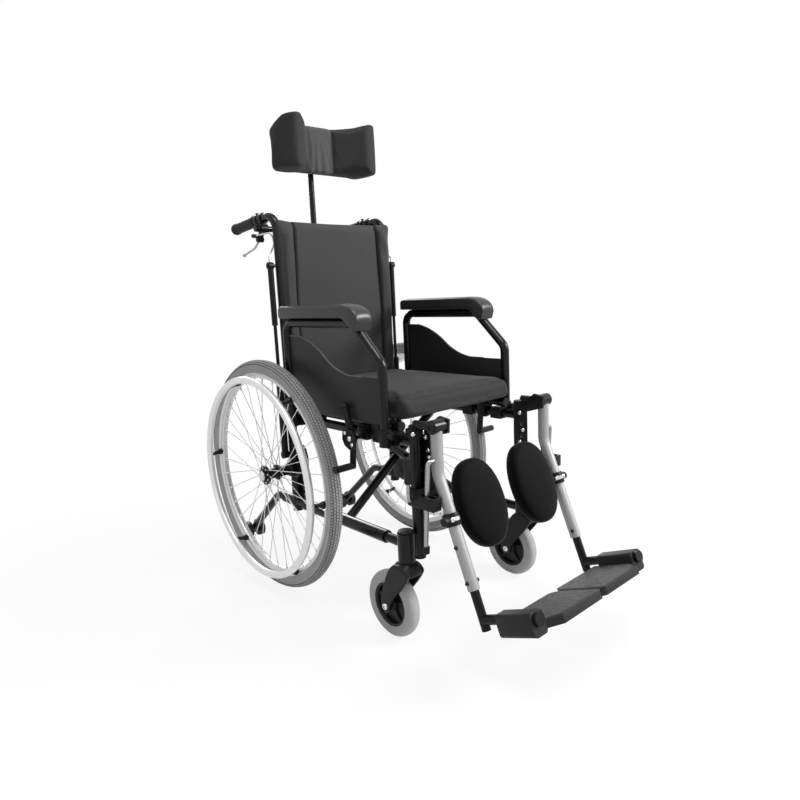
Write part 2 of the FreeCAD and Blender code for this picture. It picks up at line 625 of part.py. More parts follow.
def brake_lever():
    x0, x1 = -BRAKE_X - 3, -BRAKE_X + 3
    arm = plate_x([(BRAKE_Y - 8, BRAKE_Z + 6), (SHOE_Y - 8, SHOE_Z), (SHOE_Y + 8, SHOE_Z),
                   (BRAKE_Y + 8, BRAKE_Z), (BRAKE_Y + 22, BRAKE_Z + 40), (BRAKE_Y + 8, BRAKE_Z + 44)], x0, x1)
    hub = cyl((x0, BRAKE_Y, BRAKE_Z), (x1, BRAKE_Y, BRAKE_Z), 12)
    shoe = cyl((x1, SHOE_Y, SHOE_Z), (-WHEEL_X - 16, SHOE_Y, SHOE_Z), SHOE_R)
    grip = cyl((-BRAKE_X, BRAKE_Y + 13, BRAKE_Z + 32), (-BRAKE_X, BRAKE_Y + 26, BRAKE_Z + 66), 8)
    knob = Part.makeSphere(10.5, V(-BRAKE_X, BRAKE_Y + 27, BRAKE_Z + 68))
    whole = joined([arm, hub, shoe, grip, knob])
    return whole.cut(cyl((x0 - 5, BRAKE_Y, BRAKE_Z), (x1 + 5, BRAKE_Y, BRAKE_Z), BRAKE_PIN_R + RUN))


def leg_hanger():
    """Plate and rings on the front post, leg pivot pin, release grip and rod guide."""
    x0, x1 = -FRAME_X + POST_R + 1, -FRAME_X + POST_R + 7
    low, high = GUIDE_Z - 15, FRONT_POST_TOP - 3
    plate = plate_x([(FRONT_Y + 2, low), (FRONT_Y - 35, low), (FRONT_Y - 35, high - 15),
                     (PIVOT_Y - 14, PIVOT_Z - 15), (PIVOT_Y - 16, PIVOT_Z + 13), (PIVOT_Y + 10, PIVOT_Z + 17),
                     (FRONT_Y - 14, high), (FRONT_Y + 2, high)], x0, x1)
    rings = []
    for z0, z1 in ((low, low + 25), (high - 16, high)):
        rings.append(cyl((-FRAME_X, FRONT_Y, z0), (-FRAME_X, FRONT_Y, z1), RING_R))
    pin = cyl((x1, PIVOT_Y, PIVOT_Z), (-LEG_X - LEG_R - 5, PIVOT_Y, PIVOT_Z), 6)
    grip = cyl((-LEG_X, PIVOT_Y + LEG_R + 5, PIVOT_Z - 3), (-LEG_X, FRONT_Y - 6, PIVOT_Z - 3), 9)
    rib = box(-LEG_X, x0 + 2, PIVOT_Y + LEG_R + 11, PIVOT_Y + LEG_R + 31, PIVOT_Z - 10, PIVOT_Z - 2)
    side, rear = -LEG_X - LEG_R - 2.5, FRONT_Y - RING_R + 2
    inner = box(side, x1, GUIDE_Y - 4, rear, GUIDE_Z - 13, GUIDE_Z + 13)
    outer = box(-ROD_X - 12, side, GUIDE_Y - SLOT_AHEAD - 4, rear, GUIDE_Z - 13, GUIDE_Z + 13)
    half = ROD_R + 0.5
    slot = box(-ROD_X - half, -ROD_X + half, GUIDE_Y - SLOT_AHEAD, GUIDE_Y + SLOT_BEHIND,
               GUIDE_Z - 20, GUIDE_Z + 20)
    post = cyl((-FRAME_X, FRONT_Y, low - 18), (-FRAME_X, FRONT_Y, high + 9), POST_R + RUN)
    lever = cyl((-ROD_X - 20, LEVER_Y, GUIDE_Z), (-ROD_X + 12, LEVER_Y, GUIDE_Z), 4 + RUN)
    heights = (low + 47, low + 77, low + 107)
    holes = [cyl((x0 - 1, FRONT_Y - 22, z), (x1 + 1, FRONT_Y - 22, z), 5) for z in heights]
    whole = joined([plate] + rings + [pin, grip, rib, inner, outer])
    return whole.cut(Part.makeCompound([slot, post, lever] + holes))


def leg_tube():
    x = -LEG_X
    tube = bent_bar([(x, PIVOT_Y, PIVOT_Z), (x, PIVOT_Y, BEND_Z), leg_point(x, LEG_END, 0)], LEG_R, 60)
    hub = cyl((x - LEG_R - 2, PIVOT_Y, PIVOT_Z), (POST_R - FRAME_X - 0.5, PIVOT_Y, PIVOT_Z), LEG_R + 2)
    holes = [cyl((x - 30, PIVOT_Y, PIVOT_Z), (x + 30, PIVOT_Y, PIVOT_Z), 6 + RUN),
             cyl(leg_point(x, EXT_TOP - 40, 0), leg_point(x, LEG_END + 2, 0), EXT_R + RUN),
             cyl((x - 30, PIVOT_Y, ROD_PIN_Z), (x + 1, PIVOT_Y, ROD_PIN_Z), ROD_R + RUN)]
    return tube.fuse(hub).cut(Part.makeCompound(holes))


def leg_extension():
    x = -LEG_X
    tube = cyl(leg_point(x, EXT_TOP, 0), leg_point(x, EXT_END, 0), EXT_R)
    arm = cyl(leg_point(x, ARM_AT, 0), leg_point(x, ARM_AT, BLOCK_D1 + 4), FOOT_ARM_R)
    knob = cyl(leg_point(x, ARM_AT, BLOCK_D1 + APART), leg_point(x, ARM_AT, BLOCK_D1 + 8), FOOT_ARM_R + 3)
    return joined([tube, arm, knob])


def footplate():
    """Plate with cut corners and its pivot block, drawn round an upright leg."""
    x0, x1 = -LEG_X + 18, -PLATE_GAP
    y0, y1 = -PLATE_D1, -PLATE_D0
    z1 = -PLATE_TOP
    z0 = z1 - PLATE_T
    outline = [(x0, y0 + 26), (x0 + 26, y0), (x1 - 8, y0), (x1, y0 + 8), (x1, y1 - 18),
               (x1 - 14, y1), (x0, y1)]
    points = [V(x, y, z0) for x, y in outline]
    plate = Part.Face(Part.makePolygon(points + points[:1])).extrude(V(0, 0, z1 - z0))
    block = box(-LEG_X - 18, -LEG_X + 20, -BLOCK_D1, -BLOCK_D0, -ARM_AT - 31, -ARM_AT + 14)
    long_edges = [e for e in block.Edges if abs(e.tangentAt(e.FirstParameter).y) > 0.9]
    block = block.makeFillet(8, long_edges)
    bore = cyl((-LEG_X, -BLOCK_D1 - 5, -ARM_AT), (-LEG_X, -BLOCK_D0 + 5, -ARM_AT), FOOT_ARM_R + RUN)
    return on_leg(plate.fuse(block).cut(bore))


def calf_bracket():
    ring = cyl((-LEG_X, 0, -CLAMP_AT - 13), (-LEG_X, 0, -CLAMP_AT + 13), LEG_R + 4)
    arm = box(-LEG_X - 6, -PAD_X + 32, PAD_REAR + APART, PAD_REAR + 6.3, -CLAMP_AT - 11, -CLAMP_AT + 11)
    tube = cyl((-LEG_X, 0, -CLAMP_AT - 20), (-LEG_X, 0, -CLAMP_AT + 20), LEG_R + RUN)
    return on_leg(ring.fuse(arm).cut(tube))


def calf_pad():
    """Oval pad, crowned towards the calf and drawn in at the rear."""
    sections = []
    for depth, inset in ((0, 9), (5.2, 2), (17.2, 0), (28.2, 3), (35.2, 12), (38.2, 30)):
        y = PAD_REAR - depth
        oval = Part.Ellipse(V(-PAD_X, y, -PAD_AT), PAD_HALF_H - inset, PAD_HALF_W - inset)
        edge = oval.toShape()
        edge.rotate(V(-PAD_X, y, -PAD_AT), V(0, 0, 1), 90)
        edge.rotate(V(-PAD_X, y, -PAD_AT), V(1, 0, 0), 90)
        sections.append(Part.Wire(edge))
    return on_leg(Part.makeLoft(sections, True, False))


def elevating_rod():
    """Hooked rod from the leg tube down through the guide, with an end cap."""
    lean = (GUIDE_Y - PIVOT_Y) / (ROD_PIN_Z - GUIDE_Z)
    end_y = PIVOT_Y + lean * (ROD_PIN_Z - ROD_END_Z)
    foot = (-ROD_X, end_y, ROD_END_Z)
    rod = bent_bar([(-LEG_X + 0.5, PIVOT_Y, ROD_PIN_Z), (-ROD_X, PIVOT_Y, ROD_PIN_Z), foot], ROD_R, 8)
    cap = cyl(foot, (-ROD_X, end_y + lean * 14, ROD_END_Z - 14), 8)
    return Part.makeCompound([rod, cap])


def rod_lever():
    rod = bent_bar([(-ROD_X + 10, LEVER_Y, GUIDE_Z), (-LEVER_X, LEVER_Y, GUIDE_Z),
                    (-LEVER_X, LEVER_Y, GUIDE_Z + 36)], 4, 8)
    grip = cyl((-LEVER_X, LEVER_Y, GUIDE_Z + 36), (-LEVER_X, LEVER_Y, GUIDE_Z + 92), 7.5)
    return Part.makeCompound([rod, grip.makeFillet(3, grip.Edges)])


def cross_brace(y, side):
    """Sleeve on one lower rail, leg, and the seat rail above the other lower rail."""
    low, high = side * FRAME_X, -side * FRAME_X
    sleeve = cyl((low, SLEEVE_Y0, LOWER_Z), (low, SLEEVE_Y1, LOWER_Z), SLEEVE_R)
    leg = cyl((low, y, LOWER_Z), (high, y, SEAT_Z), RAIL_R)
    rail = cyl((high, SEAT_Y0, SEAT_Z), (high, SEAT_Y1, SEAT_Z), RAIL_R)
    bore = cyl((low, SLEEVE_Y0 - 1, LOWER_Z), (low, SLEEVE_Y1 + 1, LOWER_Z), RAIL_R + RUN)
    middle = (LOWER_Z + SEAT_Z) / 2
    hole = cyl((0, y - 40, middle), (0, y + 40, middle), BOLT_R + RUN)
    return joined([sleeve, leg, rail]).cut(bore).cut(hole)


def pivot_bolt():
    z = (LOWER_Z + SEAT_Z) / 2
    out = RAIL_R + 4
    shank = cyl((0, BRACE_B_Y - out - 1, z), (0, BRACE_A_Y + out + 1, z), BOLT_R)
    ends = [cyl((0, y, z), (0, y + run, z), 10) for y, run in ((BRACE_B_Y - out, -6), (BRACE_A_Y + out, 6))]
    spacer = cyl((0, BRACE_B_Y + RAIL_R + APART, z), (0, BRACE_A_Y - RAIL_R - APART, z), 9)
    return joined([shank] + ends + [spacer])


def soft_section(y, half, z0, z1, crown, corner):
    """Outline across a cushion: flat base, rounded corners, arched top."""
    c = corner
    k = c * (1 - math.sqrt(0.5))
    p = [V(-half + c, y, z0), V(half - c, y, z0), V(half, y, z0 + c), V(half, y, z1 - c),
         V(half - c, y, z1), V(-half + c, y, z1), V(-half, y, z1 - c), V(-half, y, z0 + c)]
    edges = [
        Part.LineSegment(p[0], p[1]).toShape(),
        Part.Arc(p[1], V(half - k, y, z0 + k), p[2]).toShape(),
        Part.LineSegment(p[2], p[3]).toShape(),
        Part.Arc(p[3], V(half - k, y, z1 - k), p[4]).toShape(),
        Part.Arc(p[4], V(0, y, z1 + crown), p[5]).toShape(),
        Part.Arc(p[5], V(-half + k, y, z1 - k), p[6]).toShape(),
        Part.LineSegment(p[6], p[7]).toShape(),
        Part.Arc(p[7], V(-half + k, y, z0 + k), p[0]).toShape(),
    ]
    return Part.Wire(edges)


def seat_cushion():
    """Thick cushion with a crowned top and a rounded front."""
    z0, z1, w = SEAT_Z + RAIL_R + APART, CUSHION_Z1, CUSHION_HALF_W
    y0, y1 = CUSHION_Y0, CUSHION_Y1
    sections = []
    for y, inset, drop, lift, crown in ((y0, 13, 18, 14, 2), (y0 + 2, 8, 12, 9, 3), (y0 + 6, 4, 7, 5, 5),
                                        (y0 + 13, 1, 3, 2, 6), (y0 + 24, 0, 1, 0, 8),
                                        (y0 + 120, 0, 0, 0, 12), (y1 - 100, 0, 0, 0, 12),
                                        (y1 - 14, 0, 1, 0, 8), (y1 - 5, 2, 4, 2, 5), (y1, 7, 10, 6, 3)):
        sections.append(soft_section(y, w - inset, z0 + lift, z1 - drop, crown, 9))
    return Part.makeLoft(sections, True, True)


def back_section(z, inset):
    """Plan outline of the back: flat rear, two bolsters and a middle panel."""
    w, front, rear = BACK_HALF_W - inset, -27 + inset, 15 - inset
    s, crease = SEAM_X, -15 + inset * 0.6
    edges = [
        Part.LineSegment(V(-w + 9, rear, z), V(w - 9, rear, z)).toShape(),
        Part.Arc(V(w - 9, rear, z), V(w, (rear + front) / 2, z), V(w - 9, front + 5, z)).toShape(),
        Part.Arc(V(w - 9, front + 5, z), V((w + s) / 2, front, z), V(s, crease, z)).toShape(),
        Part.Arc(V(s, crease, z), V(0, crease - 6, z), V(-s, crease, z)).toShape(),
        Part.Arc(V(-s, crease, z), V(-(w + s) / 2, front, z), V(-w + 9, front + 5, z)).toShape(),
        Part.Arc(V(-w + 9, front + 5, z), V(-w, (rear + front) / 2, z), V(-w + 9, rear, z)).toShape(),
    ]
    return Part.Wire(edges)


def back_upholstery():
    """Padded back with a sewn crease beside each bolster, threaded on the canes."""
    sections = [back_section(z, inset) for z, inset in
                ((BACK_Z0, 4), (BACK_Z0 + 3, 1.5), (BACK_Z0 + 8, 0), (BACK_Z1 - 10, 0), (BACK_Z1 - 4, 1.5),
                 (BACK_Z1, 4))]
    body = Part.makeLoft(sections, True, True)
    holes = []
    for side in (-1, 1):
        cane = bent_bar(cane_path(), CANE_R + APART, CANE_BEND)
        pin = cyl((-FRAME_X, 0, LOCK_TOP_Z), (-FRAME_X - 40, 0, LOCK_TOP_Z), LOCK_PIN_R + APART)
        plug = cyl((-FRAME_X, 0, HINGE_Z), (-FRAME_X, 0, HINGE_Z + 46), CANE_R + 3 + APART)
        for hole in (cane, pin, plug):
            holes.append(hole if side < 0 else mirrored(hole))
    return body.cut(Part.makeCompound(holes[:3])).cut(Part.makeCompound(holes[3:]))


def headrest_bar():
    bar = cyl((-BAR_HALF, BAR_Y, BAR_Z), (BAR_HALF, BAR_Y, BAR_Z), BAR_R)
    boss = box(-17, 17, BAR_Y - 13, HEAD_POST_Y + 16, BAR_Z - 14, BAR_Z + 16)
    hole = cyl((0, HEAD_POST_Y, BAR_Z - 30), (0, HEAD_POST_Y, BAR_Z + 30), HEAD_POST_R + RUN)
    return bar.fuse(boss).cut(hole)


def headrest_post():
    post = cyl((0, HEAD_POST_Y, HEAD_POST_Z0), (0, HEAD_POST_Y, HEAD_PIN_Z), HEAD_POST_R)
    pin = cyl((-22, HEAD_POST_Y, HEAD_PIN_Z), (22, HEAD_POST_Y, HEAD_PIN_Z), 6)
    return joined([post, pin])


def headrest_bracket():
    y, z = HEAD_POST_Y, HEAD_PIN_Z
    plate = box(-32, 32, HEAD_REAR_Y + 0.2, HEAD_REAR_Y + 5, z - 26, z + 34)
    lugs = []
    for side in (-1, 1):
        a, b = side * 10, side * 20
        lugs.append(cyl((a, y, z), (b, y, z), 11))
        lugs.append(box(min(a, b), max(a, b), HEAD_REAR_Y + 1, y, z - 11, z + 11))
    return joined([plate] + lugs).cut(cyl((-40, y, z), (40, y, z), 6 + RUN))


def head_section(z, inset, lean):
    """Plan outline of the headrest: a flat back and two wedge-shaped wings."""
    w, t = HEAD_HALF_W - inset, HEAD_WING_T - 2 * inset
    rear, front = HEAD_REAR_Y - inset - lean, HEAD_FRONT_Y + inset
    deep = HEAD_REAR_Y - HEAD_BACK_T + inset
    a, b = V(-w + 14, rear, z), V(w - 14, rear, z)
    c, d = V(w, rear - 14, z), V(w - 1, front + 10, z)
    e = V(w - t, front + 10, z)
    f, g = V(HEAD_MIDDLE + inset + 12, deep - 9, z), V(HEAD_MIDDLE + inset - 6, deep, z)

    def other(p):
        return V(-p.x, p.y, p.z)

    tip = V((d.x + e.x) / 2, front, z)
    corner = V(w - 4, rear - 4, z)
    hollow = V(HEAD_MIDDLE + inset + 4, deep - 3, z)
    edges = [
        Part.LineSegment(a, b).toShape(),
        Part.Arc(b, corner, c).toShape(),
        Part.LineSegment(c, d).toShape(),
        Part.Arc(d, tip, e).toShape(),
        Part.LineSegment(e, f).toShape(),
        Part.Arc(f, hollow, g).toShape(),
        Part.LineSegment(g, other(g)).toShape(),
        Part.Arc(other(g), other(hollow), other(f)).toShape(),
        Part.LineSegment(other(f), other(e)).toShape(),
        Part.Arc(other(e), other(tip), other(d)).toShape(),
        Part.LineSegment(other(d), other(c)).toShape(),
        Part.Arc(other(c), other(corner), a).toShape(),
    ]
    return Part.Wire(edges)


def headrest_pad():
    """Winged headrest, drawn in at its top and bottom edges and rounded over at the rear."""
    z0, z1 = HEAD_Z0, HEAD_Z1
    sections = [head_section(z, inset, lean) for z, inset, lean in
                ((z0, 8, 2), (z0 + 3, 4, 1), (z0 + 9, 1, 0), (z0 + 16, 0, 0), (z1 - 40, 0, 0),
                 (z1 - 22, 0, 3), (z1 - 10, 1, 8), (z1 - 3, 4, 13), (z1, 8, 16))]
    pad = Part.makeLoft(sections, True, True)
    return pad.cut(box(-33, 33, HEAD_REAR_Y, HEAD_REAR_Y + 20, z0 - 1, z1 + 1))


def mirrored(shape):
    return shape.mirror(V(0, 0, 0), V(1, 0, 0))


RIGHT = {
    "side_frame": side_frame,
    "frame_fittings": frame_fittings,
    "tyre": tyre,
    "spoked_wheel": spoked_wheel,
    "caster_fork": caster_fork,
    "caster_wheel": caster_wheel,
    "anti_tip_bar": anti_tip_bar,
    "anti_tip_rollers": anti_tip_rollers,
    "back_cane": back_cane,
    "push_grip": push_grip,
    "handle_fittings": handle_fittings,
    "release_lever": release_lever,
    "lock_cylinder": lock_cylinder,
    "lock_rod": lock_rod,
    "arm_tube": arm_tube,
    "arm_pad": arm_pad,
    "side_panel": side_panel,
    "brake_lever": brake_lever,
    "leg_hanger": leg_hanger,
    "leg_tube": leg_tube,
    "leg_extension": leg_extension,
    "footplate": footplate,
    "calf_bracket": calf_bracket,
    "calf_pad": calf_pad,
    "elevating_rod": elevating_rod,
    "rod_lever": rod_lever,
}

nodes = {}
for name, make in RIGHT.items():
    nodes["right_" + name] = make()
    nodes["left_" + name] = mirrored(nodes["right_" + name])
nodes["cross_brace_a"] = Part.makeCompound([cross_brace(BRACE_A_Y, -1), pivot_bolt()])
nodes["cross_brace_b"] = cross_brace(BRACE_B_Y, 1)
nodes["seat_cushion"] = seat_cushion()
nodes["back_upholstery"] = back_upholstery()
nodes["headrest_bar"] = headrest_bar()
nodes["headrest_post"] = headrest_post()
nodes["headrest_bracket"] = headrest_bracket()
nodes["headrest_pad"] = headrest_pad()

boxes = [shape.optimalBoundingBox(False) for shape in nodes.values()]
middle = (min(b.YMin for b in boxes) + max(b.YMax for b in boxes)) / 2

os.makedirs("parts", exist_ok=True)
for name, shape in nodes.items():
    shape.translate(V(0, -middle, 0))
    shape.exportStep("parts/" + name + ".step")
    print(name, len(shape.Solids), shape.isValid(), round(shape.Volume))
print("middle", round(middle, 4))
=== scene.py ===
import math

import bmesh
import bpy
import numpy as np
from mathutils import Matrix, Vector
from mathutils.bvhtree import BVHTree


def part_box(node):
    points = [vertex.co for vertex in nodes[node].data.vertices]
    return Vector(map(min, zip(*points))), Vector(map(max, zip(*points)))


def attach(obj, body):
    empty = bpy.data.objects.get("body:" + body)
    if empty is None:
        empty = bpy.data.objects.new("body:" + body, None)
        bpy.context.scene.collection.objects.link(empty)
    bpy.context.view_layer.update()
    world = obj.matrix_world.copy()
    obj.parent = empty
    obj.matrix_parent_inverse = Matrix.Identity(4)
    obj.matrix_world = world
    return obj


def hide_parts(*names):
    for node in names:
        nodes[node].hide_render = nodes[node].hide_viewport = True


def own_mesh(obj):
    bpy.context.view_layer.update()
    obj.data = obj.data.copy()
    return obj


# Reclining wheelchair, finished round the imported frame.
# Sizes are in millimetres from the rear axle (y = 0) and the floor (z = 0), with the sitter's
# right at -x; putMesh moves them into the frame, in metres.

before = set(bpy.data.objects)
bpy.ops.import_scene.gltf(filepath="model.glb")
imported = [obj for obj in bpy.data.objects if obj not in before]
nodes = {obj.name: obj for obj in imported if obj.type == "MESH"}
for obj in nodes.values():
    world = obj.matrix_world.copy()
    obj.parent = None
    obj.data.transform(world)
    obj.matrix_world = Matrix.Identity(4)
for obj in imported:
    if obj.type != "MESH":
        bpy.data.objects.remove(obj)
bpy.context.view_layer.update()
tyreLow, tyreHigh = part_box("right_tyre")
axleY = 500.0 * (tyreLow.y + tyreHigh.y)
print("frame:", len(nodes), "nodes")


# shells of points and quads


def gridQuads(rows, cols, closeRows=False):
    # quads between neighbouring rows and columns; columns join round, rows where asked
    i = np.arange(rows if closeRows else rows - 1)[:, None]
    j = np.arange(cols)[None, :]
    down, right = (i + 1) % rows, (j + 1) % cols
    corners = np.broadcast_arrays(i * cols + j, i * cols + right, down * cols + right, down * cols + j)
    return np.stack(corners, -1).reshape(-1, 4)


def joinShells(*shells):
    # one shell out of several, each one's corner numbers moved along
    starts = np.cumsum([0] + [len(points) for points, quads in shells[:-1]])
    return (np.concatenate([points for points, quads in shells]),
            np.concatenate([quads + start for (points, quads), start in zip(shells, starts)]))


def unit(v):
    v = np.asarray(v, float)
    return v / np.linalg.norm(v)


def squareTo(axis):
    return unit(np.cross(axis, (0, 0, 1) if abs(axis[2]) < 0.9 else (1, 0, 0)))


def fullTurn(count):
    return np.linspace(0, 2 * np.pi, count, endpoint=False)


def roundRing(radius, sides):
    t = fullTurn(sides)
    return np.stack([np.cos(t), np.sin(t)], -1) * radius


def boxRing(halfX, halfZ, power, count):
    # rounded rectangle: x = halfX |cos|^(2/power), z = halfZ |sin|^(2/power)
    t = fullTurn(count)
    return np.stack([half * np.sign(wave) * np.abs(wave) ** (2 / power)
                     for half, wave in ((halfX, np.cos(t)), (halfZ, np.sin(t)))], -1)


def turned(profile, origin, axis, segments=48, loop=False):
    # point = origin + axis * along + radius * (cos t * side + sin t * up), profile rows (along, radius)
    profile, axis = np.asarray(profile, float), unit(axis)
    side = squareTo(axis)
    up = np.cross(axis, side)
    t = fullTurn(segments)[:, None]
    ring = np.cos(t) * side + np.sin(t) * up
    points = np.asarray(origin, float) + profile[:, :1, None] * axis + profile[:, 1:, None] * ring
    return points.reshape(-1, 3), gridQuads(len(profile), segments, closeRows=loop)


def carried(path, ring, loop=False):
    # ring offsets (rows, cols, 2) carried along path on frames that twist as little as they can
    path = np.asarray(path, float)
    run = np.roll(path, -1, 0) - np.roll(path, 1, 0) if loop else np.gradient(path, axis=0)
    run /= np.linalg.norm(run, axis=1)[:, None]
    side = np.zeros_like(path)
    side[0] = squareTo(run[0])
    for i in range(1, len(path)):
        side[i] = unit(side[i - 1] - run[i] * (side[i - 1] @ run[i]))
    up = np.cross(run, side)
    ring = np.broadcast_to(ring, (len(path),) + np.shape(ring)[-2:])
    points = path[:, None] + ring[..., :1] * side[:, None] + ring[..., 1:] * up[:, None]
    return points.reshape(-1, 3), gridQuads(len(path), ring.shape[1], closeRows=loop)


def lofted(sections):
    # closed rings (rows, cols, 3) joined in order, each end drawn in to its own middle
    sections = np.asarray(sections, float)
    ends = [np.broadcast_to(s.mean(1, keepdims=True), s.shape) for s in (sections[:1], sections[-1:])]
    rows = np.concatenate([ends[0], sections, ends[1]])
    return rows.reshape(-1, 3), gridQuads(len(rows), rows.shape[1])


def closedRod(path, ring):
    # a ring carried along an open path, with its ends closed
    return lofted(carried(path, ring)[0].reshape(len(path), -1, 3))


def bar(a, b, radius, sides=16, ease=0.0):
    # straight round bar with its end edges eased
    a, b = np.asarray(a, float), np.asarray(b, float)
    length = np.linalg.norm(b - a)
    e = ease or 0.15 * radius
    return turned([(0, 0), (0, radius - e), (0.3 * e, radius - 0.3 * e), (e, radius), (length - e, radius),
                   (length - 0.3 * e, radius - 0.3 * e), (length, radius - e), (length, 0)], a, b - a, sides)


def collar(at, way, half, bore, radius, ease, sides=40):
    # a ring round a tube, half its width to each side, with its outer edges eased along and across
    along, across = ease
    return turned([(-half, bore), (-half, radius - across), (along - half, radius), (half - along, radius),
                   (half, radius - across), (half, bore)], at, way, sides, loop=True)


def flatPlate(outline, x0, x1, ease=1.0):
    # an outline (y, z) drawn in slightly at both faces, between two values of x
    shape = np.array(outline, float)
    middle = shape.mean(0)
    small = middle + (shape - middle) * (1 - 2 * ease / np.ptp(shape, axis=0).min())
    rows = [(x0, small), (x0 + ease, shape), (x1 - ease, shape), (x1, small)]
    return lofted([np.column_stack([np.full(len(r), x), r]) for x, r in rows])


def boltHead(at, way, radius, height=0.0):
    # button head: a low dome with a socket sunk in it
    h = height or radius * 0.55
    return turned([(-1.5, 0), (-1.5, radius), (0.25 * h, radius), (0.7 * h, 0.86 * radius), (h, 0.6 * radius),
                   (h, 0.46 * radius), (0.35 * h, 0.42 * radius), (0.3 * h, 0)], at, way, 24)


def smoothLoop(corners, count):
    # closed curve through the corners, Catmull-Rom, sampled evenly in its parameter
    p = np.asarray(corners, float)
    s = np.linspace(0, len(p), count, endpoint=False)
    i, f = s.astype(int), (s % 1)[:, None]
    a, b, c, d = (p[(i + k) % len(p)] for k in (-1, 0, 1, 2))
    square, cube = 2 * a - 5 * b + 4 * c - d, 3 * b - a - 3 * c + d
    return 0.5 * (2 * b + (c - a) * f + square * f ** 2 + cube * f ** 3)


def bell(off, width):
    # 1 on a line, falling away to 0 beside it
    return np.exp(-(off / width) ** 2)


def readRows(items, key):
    # three numbers of every item of a mesh, one row each
    values = np.zeros(len(items) * 3, np.float32)
    items.foreach_get(key, values)
    return values.reshape(-1, 3)


def splinePath(route, steps=12):
    # points read from a smooth NURBS curve that has the route as its control points
    curve = bpy.data.curves.new("route", "CURVE")
    curve.dimensions = "3D"
    curve.resolution_u = steps
    line = curve.splines.new("NURBS")
    line.points.add(len(route) - 1)
    line.points.foreach_set("co", np.column_stack([route, np.ones(len(route))]).ravel())
    line.order_u = 3
    line.use_endpoint_u = True
    holder = bpy.data.objects.new("route", curve)
    mesh = bpy.data.meshes.new_from_object(holder)
    points = readRows(mesh.vertices, "co").astype(float)
    bpy.data.meshes.remove(mesh)
    bpy.data.objects.remove(holder)
    bpy.data.curves.remove(curve)
    return points


# meshes and pieces


def inFrame(points):
    return (points + (0, axleY, 0)) * 0.001


def inDrawing(rows):
    return rows.astype(float) * 1000 - (0, axleY, 0)


def meshPoints(mesh):
    return inDrawing(readRows(mesh.vertices, "co"))


def shadeSmooth(mesh, sharp):
    mesh.polygons.foreach_set("use_smooth", np.ones(len(mesh.polygons), bool))
    mesh.set_sharp_from_angle(angle=math.radians(sharp))
    mesh.update()


def putMesh(name, shell, sharp):
    points, quads = shell
    mesh = bpy.data.meshes.new(name)
    mesh.from_pydata(inFrame(points).tolist(), [], quads.tolist())
    work = bmesh.new()
    work.from_mesh(mesh)
    bmesh.ops.remove_doubles(work, verts=work.verts, dist=2e-6)
    bmesh.ops.dissolve_degenerate(work, edges=work.edges, dist=1e-7)
    bmesh.ops.recalc_face_normals(work, faces=work.faces)
    work.to_mesh(mesh)
    work.free()
    shadeSmooth(mesh, sharp)
    return mesh


def moveMesh(mesh, shape):
    # runs shape(points in mm) over a finished mesh
    mesh.vertices.foreach_set("co", inFrame(shape(meshPoints(mesh))).astype(np.float32).ravel())
    mesh.update()
    shadeSmooth(mesh, 70)
    return mesh


def markCrease(mesh, rule):
    # how deep in a seam or groove each point lies, 0 to 1, for the finish to darken as painted shade
    depth = np.clip(rule(meshPoints(mesh)), 0, 1).astype(np.float32)
    mesh.attributes.new("crease", "FLOAT", "POINT").data.foreach_set("value", depth)


def addObject(name, data):
    thing = bpy.data.objects.new(name, data)
    bpy.context.scene.collection.objects.link(thing)
    return thing


def placePiece(name, mesh, body, look, replaced=()):
    piece = addObject(name, mesh)
    mesh.materials.clear()
    mesh.materials.append(paint[look])
    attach(piece, body)
    if replaced:
        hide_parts(*replaced)
    return piece


def halves(shell):
    # the right-hand shell and its mirror on the left
    points, quads = shell
    return ("right_", shell), ("left_", (points * (-1, 1, 1), quads[:, ::-1]))


def bothSides(name, shell, body, look, sharp=38, replaced=()):
    return [placePiece(side + name, putMesh(side + name, half, sharp), side + body, look,
                       [side + node for node in replaced]) for side, half in halves(shell)]


def finishedMesh(name, mesh, *modifiers):
    # the mesh after a stack of (type, settings), with nothing left live
    work = addObject(name + "_work", mesh)
    for kind, settings in modifiers:
        modifier = work.modifiers.new(kind.lower(), kind)
        for key, value in settings.items():
            setattr(modifier, key, value)
    depsgraph = bpy.context.evaluated_depsgraph_get()
    done = bpy.data.meshes.new_from_object(work.evaluated_get(depsgraph))
    done.name = name
    bpy.data.objects.remove(work)
    bpy.data.meshes.remove(mesh)
    return done


def mouldedMesh(name, shell, voxel, passes):
    # overlapping shells melted into one skin, its inner corners filled and its edges eased
    mesh = finishedMesh(name, putMesh(name + "_raw", shell, 180),
                        ("REMESH", {"mode": "VOXEL", "voxel_size": voxel * 0.001, "use_smooth_shade": True}),
                        ("SMOOTH", {"factor": 0.5, "iterations": passes}))
    shadeSmooth(mesh, 60)
    return mesh


def easedMesh(node, width):
    # a merged copy of a CAD node with its sharp edges rounded off
    work = bmesh.new()
    work.from_mesh(nodes[node].data)
    bmesh.ops.remove_doubles(work, verts=work.verts, dist=1e-6)
    bmesh.ops.dissolve_limit(work, angle_limit=math.radians(0.6), verts=work.verts, edges=work.edges)
    mesh = bpy.data.meshes.new(node + "_copy")
    work.to_mesh(mesh)
    work.free()
    mesh = finishedMesh(node + "_eased", mesh,
                        ("BEVEL", {"width": width * 0.001, "segments": 3, "limit_method": "ANGLE",
                                   "angle_limit": math.radians(35), "use_clamp_overlap": True,
                                   "miter_outer": "MITER_ARC"}))
    shadeSmooth(mesh, 42)
    return mesh


# materials


def addNode(tree, kind, inputs=None, **settings):
    node = tree.nodes.new("ShaderNode" + kind)
    for key, value in settings.items():
        setattr(node, key, value)
    for key, value in (inputs or {}).items():
        if isinstance(value, bpy.types.NodeSocket):
            tree.links.new(value, node.inputs[key])
        else:
            node.inputs[key].default_value = value
    return node


